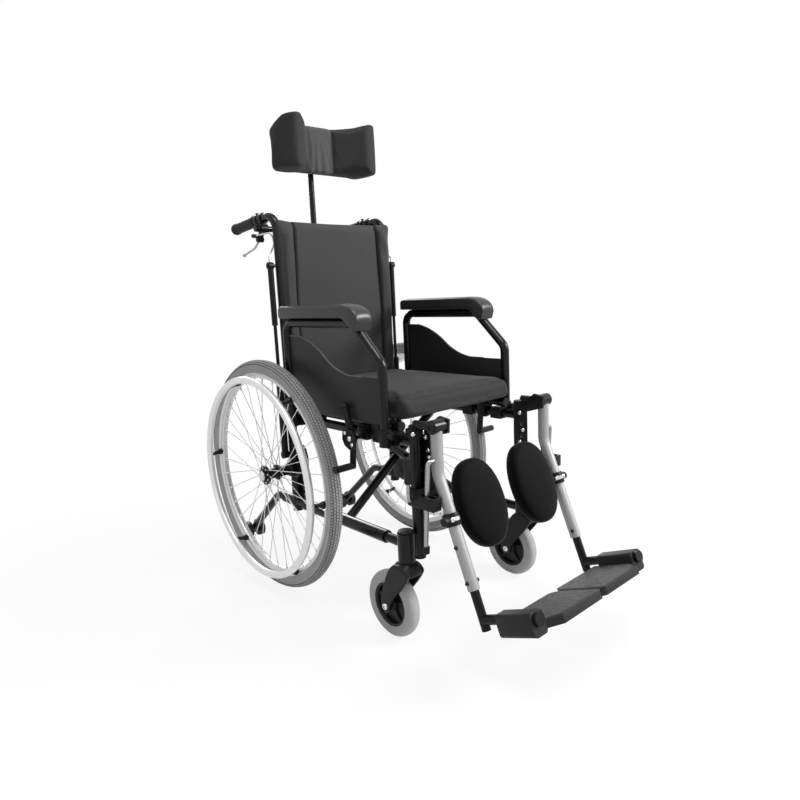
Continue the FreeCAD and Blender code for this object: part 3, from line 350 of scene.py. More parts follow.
def maths(tree, operation, a, b=0.0, c=0.0, clamp=False):
    return addNode(tree, "Math", {0: a, 1: b, 2: c}, operation=operation, use_clamp=clamp).outputs[0]


def times(tree, a, b):
    return maths(tree, "MULTIPLY", a, b)


def remap(tree, value, low=0.0, high=1.0, start=0.0, end=1.0, **settings):
    # value taken from the range low to high into the range start to end
    return addNode(tree, "MapRange", {"Value": value, "From Min": low, "From Max": high, "To Min": start,
                                      "To Max": end}, **settings).outputs[0]


def noise(tree, place, scale, detail):
    return addNode(tree, "TexNoise", {"Vector": place, "Scale": scale, "Detail": detail}).outputs["Fac"]


def objectPlace(tree):
    return addNode(tree, "TexCoord").outputs["Object"]


def newGroup(name, inputs, outputs, fill):
    # a node group; fill(group, given, place) gives one socket for each output
    group = bpy.data.node_groups.new(name, "ShaderNodeTree")
    for label, value in inputs.items():
        group.interface.new_socket(label, in_out="INPUT", socket_type="NodeSocketFloat").default_value = value
    for label in outputs:
        group.interface.new_socket(label, in_out="OUTPUT", socket_type="NodeSocketFloat")
    given, out = group.nodes.new("NodeGroupInput"), group.nodes.new("NodeGroupOutput")
    for label, socket in zip(outputs, fill(group, given.outputs, objectPlace(group))):
        group.links.new(socket, out.inputs[label])
    return group


def surfaceGrain(group, given, place):
    # fine noise for the surface, broad noise for its unevenness
    return noise(group, place, given["Scale"], 3.0), noise(group, place, given["Patch"], 4.0)


def pebbledSkin(group, given, place):
    # rounded cells packed side by side, as on moulded footplates and vinyl; the second output is painted
    # shade in the valleys between the cells
    cells = addNode(group, "TexVoronoi", {"Vector": place, "Scale": given["Scale"]},
                    feature="DISTANCE_TO_EDGE")
    distance = cells.outputs["Distance"]
    dome = remap(group, distance, high=0.32)
    return times(group, dome, given["Stretch"]), remap(group, distance, high=0.1, start=1.0, end=0.0)


def clothWeave(group, given, place):
    # over-and-under threads: across is sin(x), along is sin(y + z), one lifted where the other dips
    parts = addNode(group, "SeparateXYZ", {0: place}).outputs
    across = maths(group, "SINE", times(group, parts["X"], given["Threads"]))
    along = maths(group, "SINE", times(group, maths(group, "ADD", parts["Y"], parts["Z"]), given["Threads"]))
    cross = maths(group, "MULTIPLY_ADD", times(group, across, along), 0.5, 0.5)
    slub = noise(group, place, 210.0, 2.0)
    uneven = times(group, maths(group, "SUBTRACT", slub, 0.5), given["Slub"])
    return maths(group, "ADD", cross, uneven), maths(group, "ADD", times(group, cross, 0.5), uneven)


def settledDust(group, given, place):
    # thin dust where the surface faces up, broken by noise
    normal = addNode(group, "NewGeometry").outputs["Normal"]
    upward = remap(group, addNode(group, "SeparateXYZ", {0: normal}).outputs["Z"], low=0.35)
    patchy = remap(group, noise(group, place, given["Scale"], 6.0), low=0.35, high=0.75)
    return times(group, times(group, upward, patchy), given["Amount"]),


def rubbedEdges(group, given, place):
    # worn line, lighter as a painted highlight too, where a rounded normal turns away from the true one,
    # broken by noise
    soft = addNode(group, "Bevel", {"Radius": given["Reach"]}, samples=4).outputs[0]
    true = addNode(group, "NewGeometry").outputs["Normal"]
    facing = addNode(group, "VectorMath", {0: soft, 1: true}, operation="DOT_PRODUCT").outputs["Value"]
    edge = remap(group, facing, low=0.99, high=0.86)
    return times(group, times(group, edge, noise(group, place, 130.0, 5.0)), given["Amount"]),


groups = {
    "grain": newGroup("surfaceGrain", {"Scale": 900.0, "Patch": 14.0}, ("Height", "Mottle"), surfaceGrain),
    "pebble": newGroup("pebbledSkin", {"Scale": 400.0, "Stretch": 1.0}, ("Height", "Crease"), pebbledSkin),
    "weave": newGroup("clothWeave", {"Threads": 1400.0, "Slub": 0.4}, ("Height", "Shade"), clothWeave),
    "dust": newGroup("settledDust", {"Amount": 0.1, "Scale": 60.0}, ("Mask",), settledDust),
    "rub": newGroup("rubbedEdges", {"Reach": 0.0012, "Amount": 0.4}, ("Mask",), rubbedEdges),
}

looks = {
    # colour and roughness; then grain, pebble or weave as (scale, depth), the edge rub as (amount, colour of
    # edges both worn and painted lighter as a highlight) and how much of each other effect shows; crease is
    # painted shade
    "blackPaint": (0.004, 0.24, {"gloss": 0.22, "grain": (700, 0.05), "dust": 0.03, "rub": (0.30, 0.04)}),
    "satinPaint": (0.005, 0.36, {"gloss": 0.17, "grain": (1100, 0.10), "dust": 0.03, "rub": (0.40, 0.05)}),
    "blackPlastic": (0.008, 0.42, {"gloss": 0.18, "grain": (1500, 0.16), "dust": 0.04, "rub": (0.35, 0.05)}),
    # guardPlastic's strong edge rub is mostly a painted highlight along its edges
    "guardPlastic": (0.020, 0.46, {"gloss": 0.20, "grain": (1300, 0.16), "dust": 0.03, "rub": (0.90, 0.16)}),
    # the guard's edge bead is a lighter plastic, a painted highlight line
    "guardEdge": (0.10, 0.40, {"gloss": 0.40, "grain": (1300, 0.10)}),
    "footPlastic": (0.018, 0.40, {"gloss": 0.15, "grain": (1400, 0.14), "dust": 0.03, "rub": (0.40, 0.05)}),
    "pebbledPlastic": (0.036, 0.40, {"gloss": 0.40, "pebble": (700, 0.25), "dust": 0.12, "crease": 0.7}),
    "gripRubber": (0.010, 0.60, {"gloss": 0.25, "grain": (1800, 0.25), "dust": 0.04}),
    "greyTyre": (0.36, 0.72, {"gloss": 0.2, "grain": (1200, 0.20), "patch": 0.10, "dust": 0.10,
                              "crease": 0.75}),
    "casterTyre": (0.33, 0.70, {"gloss": 0.3, "grain": (1200, 0.20), "patch": 0.10, "dust": 0.08}),
    "satinSilver": (0.31, 0.46, {"metal": 0.40, "grain": (1600, 0.06), "patch": 0.06}),
    "rimSilver": (0.62, 0.36, {"metal": 0.70, "grain": (1300, 0.06), "patch": 0.05}),
    "handrimSilver": (0.72, 0.32, {"metal": 0.75, "grain": (1500, 0.05), "patch": 0.05}),
    "chrome": (0.64, 0.18, {"metal": 1.0, "grain": (900, 0.02), "patch": 0.06}),
    "rodSteel": (0.34, 0.26, {"metal": 0.95, "grain": (900, 0.03), "patch": 0.08}),
    "spokeSteel": (0.66, 0.50, {"gloss": 0.3, "metal": 0.6, "grain": (900, 0.02), "patch": 0.06}),
    "darkSteel": (0.24, 0.34, {"metal": 1.0, "grain": (1200, 0.05), "patch": 0.10}),
    "cableSleeve": (0.52, 0.40, {"metal": 0.5, "grain": (2400, 0.20), "patch": 0.10}),
    "padVinyl": (0.003, 0.55, {"gloss": 0.02, "pebble": (1100, 0.12), "dust": 0.004, "sheen": 0.08}),
    "armVinyl": (0.020, 0.34, {"gloss": 0.34, "pebble": (1300, 0.10), "dust": 0.03, "sheen": 0.01}),
    "seatFabric": (0.024, 0.84, {"gloss": 0.12, "weave": (2600, 0.30), "patch": 0.10, "dust": 0.03,
                                 "sheen": 0.05, "crease": 0.8}),
    "backFabric": (0.038, 0.86, {"gloss": 0.12, "weave": (2600, 0.30), "patch": 0.10, "dust": 0.03,
                                 "sheen": 0.04, "crease": 0.92}),
    # headFabric is lighter than the other cloths as painted light on the headrest's lit middle panel; its
    # wings get painted shade
    "headFabric": (0.054, 0.88, {"gloss": 0.10, "weave": (2600, 0.30), "patch": 0.12, "dust": 0.03,
                                 "sheen": 0.03, "crease": 0.8}),
    "seamThread": (0.012, 0.80, {"gloss": 0.2, "grain": (3000, 0.30)}),
}
# creaseTone is the tone of the painted shade in seams and grooves; valleys is that of the painted shade
# between pebbles
finish = {"patch": 0.15, "plainGrain": (900, 0), "sheenRough": 0.45, "roughSpread": 0.06, "dustTone": 0.30,
          "bump": 0.0004, "threads": (0.35, 1.7), "valleys": (0.4, 0.5), "creaseTone": 0.12}


def makeLook(name, tone, rough, want):
    # base colour varied by mottle, painted shade in creases and pebble valleys, edges both worn and lit as a
    # painted highlight, and dust; roughness follows the mottle; bump from the grain
    look = bpy.data.materials.new(name)
    look.use_nodes = True
    tree = look.node_tree
    shader = tree.nodes["Principled BSDF"]
    plain = {"Metallic": want.get("metal", 0.0), "Specular IOR Level": want.get("gloss", 0.5),
             "Sheen Weight": want.get("sheen", 0.0), "Sheen Roughness": finish["sheenRough"]}
    for socket, value in plain.items():
        shader.inputs[socket].default_value = value

    def group(kind, **values):
        return addNode(tree, "Group", values, node_tree=groups[kind]).outputs

    def grey(value):
        return (value, value, value, 1)

    def blend(mask, a, b):
        mix = addNode(tree, "Mix", {"Factor": mask, "A": a, "B": grey(b)}, data_type="RGBA")
        return mix.outputs["Result"]

    spread = want.get("patch", finish["patch"])
    mottle = group("grain", Scale=want.get("grain", finish["plainGrain"])[0])["Mottle"]
    color = blend(mottle, grey(tone * (1 - spread)), tone * (1 + spread))
    if "weave" in want:
        scale, strength = want["weave"]
        cloth = group("weave", Threads=scale)
        height = cloth["Height"]
        share, lighter = finish["threads"]
        color = blend(times(tree, cloth["Shade"], share), color, tone * lighter)
    elif "pebble" in want:
        scale, strength = want["pebble"]
        skin = group("pebble", Scale=scale)
        height = skin["Height"]
        # painted shade: the valleys between the pebbles darkened
        share, darker = finish["valleys"]
        color = blend(times(tree, skin["Crease"], share), color, tone * darker)
    else:
        scale, strength = want["grain"]
        height = group("grain", Scale=scale)["Height"]
    if "crease" in want:
        # painted shade in seams, grooves and valleys, read from the mesh's crease attribute
        depth = addNode(tree, "Attribute", attribute_name="crease").outputs["Fac"]
        color = blend(times(tree, depth, want["crease"]), color, tone * finish["creaseTone"])
    if "rub" in want:
        # edges lightened, both as wear and as a painted highlight
        amount, wornAndLitTone = want["rub"]
        color = blend(group("rub", Amount=amount)["Mask"], color, wornAndLitTone)
    if "dust" in want:
        color = blend(group("dust", Amount=want["dust"])["Mask"], color, finish["dustTone"])
    low, high = rough - finish["roughSpread"], rough + finish["roughSpread"]
    bump = addNode(tree, "Bump", {"Height": height, "Strength": strength, "Distance": finish["bump"]})
    tree.links.new(color, shader.inputs["Base Color"])
    tree.links.new(remap(tree, mottle, start=low, end=high), shader.inputs["Roughness"])
    tree.links.new(bump.outputs[0], shader.inputs["Normal"])
    return look


paint = {name: makeLook(name, *want) for name, want in looks.items()}
print("materials:", len(paint))


# rear wheels

rearWheel = {"x": -252.0, "z": 300.0, "crown": 298.1, "half": 17.0, "belly": 283.0, "bead": 264.0,
             "beadHalf": 11.0, "blocks": 250, "rows": 6, "spread": 66.0, "depth": 1.9, "scuff": 0.68,
             "spokes": 36, "spokeRadius": 1.05, "lean": 4.6, "flangeInset": 9, "spokeShift": 1.6,
             "rimTop": 266.0, "rimHeight": 13.0, "rimHalf": 12.0, "hubIn": -222.0, "hubOut": -276.0,
             "hub": 15.0, "bore": 6.2, "flange": 25.0, "flangeIn": 20.0, "handrimX": -298.0,
             "handrim": 253.0, "handrimTube": 9.0, "standoffs": 6, "standoffTurn": 0.42}


def wheelPoint(w, x, radius, turn):
    # points at angles turn from the top of the wheel, towards the rear
    return np.stack(np.broadcast_arrays(x, radius * np.sin(turn), w["z"] + radius * np.cos(turn)), -1)


def treadedTyre(w):
    # section angle a: x = half sin a, radius = belly + (crown - belly) cos a, lifted by the tread;
    # a block stands where both its row across and its column around are up, alternate rows half a block on
    rows, step = w["rows"], 2 * w["spread"] / w["rows"]
    starts = np.arange(rows) * step - w["spread"]
    across = np.append((starts[:, None] + np.array([0, 0.16, 0.24, 0.92]) * step).ravel(), w["spread"])
    wall = np.array([-128, -112, -98, -88, -78, -71])
    plain = np.zeros(len(wall))
    a = np.radians(np.concatenate([wall, across, -wall[::-1]]))
    up = np.concatenate([plain, np.tile([0, 0, 1, 1], rows), [0], plain])
    odd = np.concatenate([plain, np.repeat(np.arange(rows) % 2, 4), [(rows - 1) % 2], plain])
    cuts = np.array([0, 0.12, 0.18, 0.44, 0.5, 0.62, 0.68, 0.94])
    around = (np.arange(w["blocks"])[:, None] + cuts).ravel() / w["blocks"]
    even = np.tile([0, 0, 1, 1, 1, 1, 1, 1], w["blocks"])
    shifted = np.tile([1, 1, 1, 1, 0, 0, 1, 1], w["blocks"])
    lift = w["depth"] * up * np.where(odd > 0, shifted[:, None], even[:, None])
    rise = w["crown"] - w["belly"]
    body = np.abs(a) < math.radians(90)
    below = np.abs(a), np.radians([90, 128])
    x = np.where(body, w["half"] * np.sin(a), np.sign(a) * np.interp(*below, [w["half"], w["beadHalf"]]))
    r = np.where(body, w["belly"] + rise * np.cos(a), np.interp(*below, [w["belly"], w["bead"]]))
    points = wheelPoint(w, w["x"] + x + lift * np.sin(a), r + lift * np.cos(a), 2 * np.pi * around[:, None])
    return points.reshape(-1, 3), gridQuads(len(around), len(a), closeRows=True)


def treadDepth(p, w=rearWheel):
    # painted shade in the tread: 1 at the foot of its grooves, less towards the tops of its blocks and none
    # on the plain walls
    x, r = np.abs(p[:, 0]) + w["x"], np.hypot(p[:, 1], p[:, 2] - w["z"]) - w["belly"]
    rise = w["crown"] - w["belly"]
    a = np.arctan2(x / w["half"], r / rise)
    lift = (x - w["half"] * np.sin(a)) * np.sin(a) + (r - rise * np.cos(a)) * np.cos(a)
    return np.where(np.abs(a) < math.radians(w["spread"] + 1), 1 - w["scuff"] * lift / w["depth"], 0)


def wheelRim(w):
    # one side of the section, its mirror, and the well between them
    x, top, half, foot = w["x"], w["rimTop"], w["rimHalf"], w["rimTop"] - w["rimHeight"]
    side = [(half - 0.6, top + 1.6), (half + 0.5, top + 0.9), (half + 0.3, top - 2), (half - 1.4, top - 6),
            (half - 3.5, foot + 2.6), (half - 6.5, foot + 0.6), (half - 9.5, foot)]
    well = [(half - 2.2, top - 1.0), (half - 4.5, top - 4.0)]
    loop = [(x + way * a, r) for way, run in ((1, side), (-1, side[::-1]), (-1, well), (1, well[::-1]))
            for a, r in run]
    return turned(loop, (0, 0, w["z"]), (1, 0, 0), 192, loop=True)


def handRim(w):
    path = wheelPoint(w, w["handrimX"], w["handrim"], fullTurn(192))
    return carried(path, roundRing(w["handrimTube"], 24), loop=True)


def wheelSpokes(w):
    # crossed spokes from the hub's two flanges to the rim, with a nipple at the rim and a head at the flange
    spokes, nipples, heads = [], [], []
    step = 2 * np.pi / w["spokes"]
    for i in range(w["spokes"]):
        ahead = 1 if i % 4 < 2 else -1
        face = w["hubIn"] - w["flangeInset"] if i % 2 else w["hubOut"] + w["flangeInset"]
        face -= w["spokeShift"] * ahead
        radius = w["flangeIn"] - 4.5 if i % 2 else w["flange"] - 5
        a = wheelPoint(w, face, radius, i * step + w["lean"] * step * ahead)
        b = wheelPoint(w, w["x"], w["rimTop"] - w["rimHeight"] / 2, i * step)
        run = unit(b - a)
        spokes.append(bar(a, b, w["spokeRadius"], 8))
        nipples.append(turned([(-11, 0), (-11, 1.5), (-9, 1.9), (-1, 2.0), (0, 3.2), (3, 3.4), (3, 0)],
                              b - run * (w["rimHeight"] / 2 + 1), run, 10))
        out = -1 if face < w["x"] else 1
        heads.append(turned([(-1, 0), (-1, 2.3), (1.2, 2.3), (2.2, 1.4), (2.5, 0)], a + (out * 2.0, 0, 0),
                            (out, 0, 0), 10))
    return joinShells(*spokes), joinShells(*nipples, *heads)


def wheelHub(w):
    # a waisted barrel with two flanges, bored through
    h, f, g = w["hub"], w["flange"], w["flangeIn"]
    profile = [(0, w["bore"]), (0, h - 2), (1.5, h), (5, h), (5.5, f - 1), (6.5, f), (11.5, f), (12.5, f - 1),
               (13.5, h - 1), (16, h - 3), (30, h - 2), (40, h), (41.5, g - 1), (42.5, g), (47.5, g),
               (48.5, g - 1), (49, h), (52, h), (54, h - 2), (54, w["bore"])]
    return turned(profile, (w["hubOut"], 0, w["z"]), (1, 0, 0), 64, loop=True)


def hubCap(w):
    return turned([(0, 0), (0, 12.5), (3.2, 12.5), (4.6, 11.6), (5.6, 9.5), (5.2, 8.2), (6, 6.5), (6.3, 0)],
                  (w["hubOut"] + 0.2, 0, w["z"]), (-1, 0, 0), 48)


def rimStandoffs(w):
    # waisted posts from the rim's side to the hand rim
    stands = []
    for turn in 2 * np.pi * (np.arange(w["standoffs"]) + w["standoffTurn"]) / w["standoffs"]:
        a = wheelPoint(w, w["x"] - w["rimHalf"] + 3.0, w["rimTop"] - w["rimHeight"] + 6, turn)
        b = wheelPoint(w, w["handrimX"] + 1.0, w["handrim"] - 3, turn)
        span = np.linalg.norm(b - a)
        stands.append(turned([(0, 0), (0, 7.5), (2, 8.5), (7, 8.0), (span * 0.45, 5.0), (span - 10, 5.2),
                              (span - 4, 6.5), (span, 5.5), (span, 0)], a, b - a, 20))
    return joinShells(*stands)


for piece in bothSides("tread_tyre", treadedTyre(rearWheel), "wheel", "greyTyre", 25, ["tyre"]):
    # painted shade in the tread's grooves
    markCrease(piece.data, treadDepth)
spokes, nipples = wheelSpokes(rearWheel)
bothSides("wheel_rim", wheelRim(rearWheel), "wheel", "rimSilver", 50, ["spoked_wheel"])
bothSides("hand_rim", handRim(rearWheel), "wheel", "handrimSilver")
bothSides("rim_standoffs", rimStandoffs(rearWheel), "wheel", "blackPlastic")
bothSides("wheel_spokes", spokes, "wheel", "spokeSteel")
bothSides("spoke_nipples", nipples, "wheel", "chrome")
bothSides("wheel_hub", wheelHub(rearWheel), "wheel", "blackPlastic")
bothSides("hub_cap", hubCap(rearWheel), "wheel", "rimSilver")

axle = {"x0": -221.0, "x1": -182.0, "z": rearWheel["z"], "bore": 6.3, "plateOut": -172.0,
        "plateIn": -165.0, "webOut": -187.5, "webIn": -181.5, "holeY": -34,
        "holes": (226, 250, 274, 326, 342),
        "plate": ((9, 366), (-34, 366), (-46, 356), (-52, 338), (-52, 226), (-46, 206), (-34, 196), (9, 196)),
        "web": ((14, 322), (-46, 322), (-52, 316), (-52, 301), (-24, 276), (14, 280))}


def axlePlates(a):
    # a tapered sleeve from the wheel to the post, and two plates that brace it
    long = a["x1"] - a["x0"]
    profile = [(0, a["bore"]), (0, 12), (1.5, 13.5), (16, 14.5), (24, 17), (26, 19.5), (long - 1.5, 19.5),
               (long, 18), (long, a["bore"])]
    sleeve = turned(profile, (a["x0"], 0, a["z"]), (1, 0, 0), 48, loop=True)
    return joinShells(sleeve, flatPlate(a["plate"], a["plateOut"], a["plateIn"]),
                      flatPlate(a["web"], a["webOut"], a["webIn"]))


def plateRings(a):
    # pressed rims round the plate's row of axle holes
    return joinShells(*[turned([(0, 4.5), (0, 7), (-1.2, 7.4), (-1.6, 6.6), (-1.6, 4.5)],
                               (a["plateOut"], a["holeY"], z), (1, 0, 0), 20, loop=True) for z in a["holes"]])


bothSides("axle_plate", axlePlates(axle), "frame", "satinPaint")
bothSides("axle_rings", plateRings(axle), "frame", "darkSteel")
print("rear wheels done")


# casters

caster = {"x": -209.0, "y": -424.0, "z": 75.0, "half": 15.0, "belly": 60, "crown": 15, "spokes": 5,
          "lines": ((34, 3.5, 0.5), (0, 3.0, 0.35)), "bolt": 7.5, "pin": 5, "sunk": 0.6, "stemY": -475.0,
          "housing": 189.0, "forkGap": 18.0, "forkThick": 8.5, "crownHalf": 28, "voxel": 1.5, "passes": 9}
casterAxle = (caster["x"], caster["y"], caster["z"])


def casterTyre(c):
    # rounded section with three shallow lines round the crown, each (angle, width, depth)
    a = np.radians(np.linspace(-118, 118, 45))
    line = sum(deep * bell(np.abs(np.degrees(a)) - at, wide) for at, wide, deep in c["lines"])
    x = c["half"] * np.sign(np.sin(a)) * np.abs(np.sin(a)) ** 0.8
    r = np.where(np.cos(a) > 0, c["belly"] + (c["crown"] - line) * np.abs(np.cos(a)) ** 0.72,
                 c["belly"] + 22 * np.cos(a))
    return turned(np.stack([x, r], -1), casterAxle, (1, 0, 0), 96, loop=True)


def casterHub(c):
    # outer lip, five deep spokes and a boss, about the axle
    lip = [(-12.5, 49), (-12, 51.5), (12, 51.5), (12.5, 49), (11.5, 44.5), (9, 43), (4, 42), (-4, 42),
           (-9, 43), (-11.5, 44.5)]
    boss = [(-15, 5.2), (-15, 12), (-13.5, 14.5), (-9, 16.5), (9, 16.5), (13.5, 14.5), (15, 12), (15, 5.2)]
    web = [(-3, 12), (3, 12), (3, 45), (-3, 45)]
    ring, middle, disc = (turned(profile, casterAxle, (1, 0, 0), segments, loop=True)
                          for profile, segments in ((lip, 96), (boss, 48), (web, 72)))
    s = np.linspace(0, 1, 9)[:, None, None]
    flat = boxRing(1, 1, 4, 16)
    r, wide, deep = 13 + 31 * s, 4.2 + 3.0 * (2 * s - 1) ** 4, 9.5 - 1.5 * s
    arms = []
    for turn in 2 * np.pi * np.arange(c["spokes"]) / c["spokes"]:
        run, across = np.array([0, np.sin(turn), np.cos(turn)]), np.array([0, np.cos(turn), -np.sin(turn)])
        arms.append(lofted(np.array(casterAxle) + r * run + wide * flat[:, :1] * across
                           + deep * flat[:, 1:] * np.array([1.0, 0, 0])))
    return joinShells(ring, middle, disc, *arms)


def casterFork(c):
    # two broad blades with rounded outlines, a humped crown and a collar, melted together
    x, y, top, ay, az = c["x"], c["stemY"], c["housing"] - 3, c["y"], c["z"]
    gap, thick = c["forkGap"], c["forkThick"]
    outline = smoothLoop([(y - 25, top - 14), (y - 24, top - 25), (y - 8, top - 48), (ay - 21, az + 17),
                          (ay - 12, az - 8), (ay - 1, az - 15), (ay + 11, az - 11), (ay + 15, az + 2),
                          (ay + 13, az + 22), (y + 48, top - 44), (y + 32, top - 16), (y + 15, top - 4),
                          (y - 10, top - 4)], 96)
    middle = outline.mean(0)
    shells = []
    for side in (-1, 1):
        rows = [(x + side * (gap + thick * off), middle + (outline - middle) * draw)
                for off, draw in ((0, 0.97), (0.12, 1.0), (0.6, 1.0), (0.85, 0.97), (1, 0.92))]
        shells.append(lofted([np.column_stack([np.full(len(shape), at), shape]) for at, shape in rows]))
    ring = boxRing(1, 1, 3.2, 48) * (gap + thick, c["crownHalf"])
    hump = ((-27, 0.93), (-24, 1.0), (-16, 1.0), (-9, 0.93), (-4, 0.80), (-1, 0.68), (1, 0.6))
    shells.append(lofted([np.column_stack([ring * grow + (x, y + 2), np.full(48, top + z)])
                          for z, grow in hump]))
    shells.append(turned([(-14, 0), (-14, 17), (-3, 17), (0, 16.2), (1.5, 15.4), (1.5, 0)], (x, y, top + 1),
                         (0, 0, 1), 48))
    return joinShells(*shells)


def casterBolts(c):
    # a pin through the fork with a button head at both ends
    end = np.array([c["forkGap"] + c["forkThick"], 0, 0])
    sunk = end - (c["sunk"], 0, 0)
    heads = [boltHead(casterAxle + way * sunk, (way, 0, 0), c["bolt"]) for way in (-1, 1)]
    return joinShells(*heads, bar(casterAxle - end, casterAxle + end, c["pin"]))


bothSides("caster_tyre", casterTyre(caster), "caster_wheel", "casterTyre", 60, ["caster_wheel"])
bothSides("caster_hub", casterHub(caster), "caster_wheel", "blackPlastic")
for side, half in halves(casterFork(caster)):
    mesh = mouldedMesh(side + "moulded_fork", half, caster["voxel"], caster["passes"])
    fork = side + "caster_fork"
    placePiece(side + "moulded_fork", mesh, fork, "blackPlastic", [fork])
bothSides("caster_bolts", casterBolts(caster), "caster_fork", "chrome")
print("casters done")


# soft pieces

clothRun = {"frames": 20, "quality": 5}
thread = {"pitch": 5.6, "length": 3.8, "radius": 0.55, "lift": 0.5, "away": 400,
          "share": (0, 0.04, 0.3, 0.7, 0.96, 1.0), "swell": (0, 0.7, 1, 1, 0.7, 0)}
fold = {"joint": "frame_fold", "axis": (1, 0, 0), "keep": 0.408, "backAnchor": (-0.176, 0, 0.7),
        "seatAnchor": (0.176, 0, 0.5)}


def puffed(name, shell, puff):
    # melted to even squares, then blown up a little as cloth, with the points below the pin's height held
    mesh = finishedMesh(name + "_skin", putMesh(name + "_raw", shell, 180),
                        ("REMESH", {"mode": "VOXEL", "voxel_size": puff["voxel"] * 0.001}),
                        ("SMOOTH", {"factor": 0.5, "iterations": puff["ease"]}))
    rest = readRows(mesh.vertices, "co")
    work = addObject(name + "_cloth", mesh)
    cloth = work.modifiers.new("cloth", "CLOTH")
    if "pin" in puff:
        held = inDrawing(rest)[:, 2] < puff["pin"]
        work.vertex_groups.new(name="pins").add(np.nonzero(held)[0].tolist(), 1.0, "REPLACE")
        cloth.settings.vertex_group_mass = "pins"
    cloth.settings.use_pressure = True
    cloth.settings.uniform_pressure_force = puff["pressure"]
    cloth.settings.effector_weights.gravity = 0
    cloth.settings.quality = clothRun["quality"]
    scene = bpy.context.scene
    for step in range(1, clothRun["frames"] + 1):
        scene.frame_set(step)
    blown = bpy.data.meshes.new_from_object(work.evaluated_get(bpy.context.evaluated_depsgraph_get()))
    shift = readRows(blown.vertices, "co") - rest
    far = np.linalg.norm(shift, axis=1, keepdims=True)
    rest = rest + shift * np.minimum(1, puff["cap"] * 0.001 / np.maximum(far, 1e-9))
    bpy.data.objects.remove(work)
    bpy.data.meshes.remove(blown)
    scene.frame_set(1)
    mesh.vertices.foreach_set("co", rest.ravel())
    mesh.update()
    return finishedMesh(name, mesh, ("SMOOTH", {"factor": 0.5, "iterations": 2}),
                        ("SUBSURF", {"levels": 1, "render_levels": 1}))


def seamEnds(line, s=thread):
    # pairs of ends spaced evenly along a line of points
    line = np.asarray(line, float)
    far = np.concatenate([[0], np.cumsum(np.linalg.norm(np.diff(line, axis=0), axis=1))])
    at = np.arange(s["pitch"], far[-1] - s["pitch"], s["pitch"])
    at = np.stack([at, at + s["length"]], -1)
    return np.stack([np.interp(at, far, line[:, k]) for k in range(3)], -1)


def sewn(name, mesh, rows, body, s=thread):
    # one thread between each pair of ends along a row's line, dropped along the row's way on to the mesh:
    # rings along the thread, drawn in at its ends and lifted in the middle
    corners = np.zeros(len(mesh.loops), np.int32)
    mesh.loops.foreach_get("vertex_index", corners)
    tree = BVHTree.FromPolygons(meshPoints(mesh).tolist(), corners.reshape(-1, 4).tolist())
    share, thick = np.array(s["share"]), s["radius"] * np.array(s["swell"])
    count = len(share)
    t = fullTurn(count)[:, None]
    shells = []
    for line, way in rows:
        way = unit(way)
        ends = seamEnds(line).reshape(-1, 3)
        hits = [tree.ray_cast(Vector(end - s["away"] * way), Vector(way))[0] for end in ends]
        spots = np.array([tuple(hit) if hit else (np.nan,) * 3 for hit in hits]).reshape(-1, 2, 3)
        spots = spots[~np.isnan(spots).any((1, 2))]
        run = spots[:, 1] - spots[:, 0]
        side = np.cross(run, way)
        side /= np.linalg.norm(side, axis=1, keepdims=True)
        arch = s["lift"] * 4 * share * (1 - share)
        centre = spots[:, None, 0] + share[:, None] * run[:, None] - arch[:, None] * way
        ring = np.cos(t) * side[:, None, None] - np.sin(t) * way
        points = centre[:, :, None] + thick[:, None, None] * ring
        quads = gridQuads(count, count)[None] + count ** 2 * np.arange(len(spots))[:, None, None]
        shells.append((points.reshape(-1, 3), quads.reshape(-1, 4)))
    return placePiece(name, putMesh(name, joinShells(*shells), 60), body, "seamThread")


def upLines(x, rise):
    # an upright line of points on each side, x out from the middle
    return [np.column_stack([side * x + 0 * rise, 0 * rise, rise]) for side in (-1, 1)]


def foldsWith(anchor, *pieces, f=fold):
    # gives each soft piece a mesh of its own; the anchor, in the frame's own metres, is not used
    for piece in pieces:
        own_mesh(piece)


seat = {"half": 179.0, "y0": -458.0, "y1": -31.0, "z0": 482.6, "z1": 528.0, "hem": 17.0, "power": 14,
        "draw": 13, "reach": 20, "crown": 6,
        "puff": {"voxel": 5.0, "pressure": 4.0, "cap": 7.0, "ease": 3, "pin": 486.0}}


def seatShell(s):
    # rounded boxes from front to rear, the end ones drawn in softly, the top crowned
    share = np.concatenate([np.linspace(0, 0.02, 8), np.linspace(0.04, 0.96, 34), np.linspace(0.98, 1, 8)])
    y = s["y0"] + (s["y1"] - s["y0"]) * share
    near = np.minimum(y - s["y0"], s["y1"] - y)
    draw = s["draw"] * np.clip(1 - near / s["reach"], 0, 1) ** 2
    crown = s["crown"] * np.sin(np.pi * share) ** 0.5
    ring = boxRing(1, 1, s["power"], 160)
    x = (s["half"] - draw)[:, None] * ring[:, 0]
    height = s["z1"] - s["z0"]
    z = s["z0"] + height / 2 + (height / 2 - draw)[:, None] * ring[:, 1]
    z += crown[:, None] * np.clip(ring[:, 1], 0, 1) * (1 - ring[:, 0] ** 2)
    return lofted(np.stack(np.broadcast_arrays(x, y[:, None], z), -1))


def seatHem(s):
    # a line round the front and both sides, at the height of the cushion's top
    x, front, rear = s["half"] - s["hem"], s["y0"] + s["hem"], s["y1"] - s["hem"]
    return [(x * side, y, s["z1"]) for side, y in ((-1, rear), (-1, front), (1, front), (1, rear))]


cushionMesh = puffed("sewn_cushion", seatShell(seat), seat["puff"])
cushion = placePiece("sewn_cushion", cushionMesh, "seat", "seatFabric", ["seat_cushion"])
shadeSmooth(cushionMesh, 70)
cushionThread = sewn("cushion_stitches", cushionMesh, [(seatHem(seat), (0, 0, -1))], "seat")
foldsWith(fold["seatAnchor"], cushion, cushionThread)

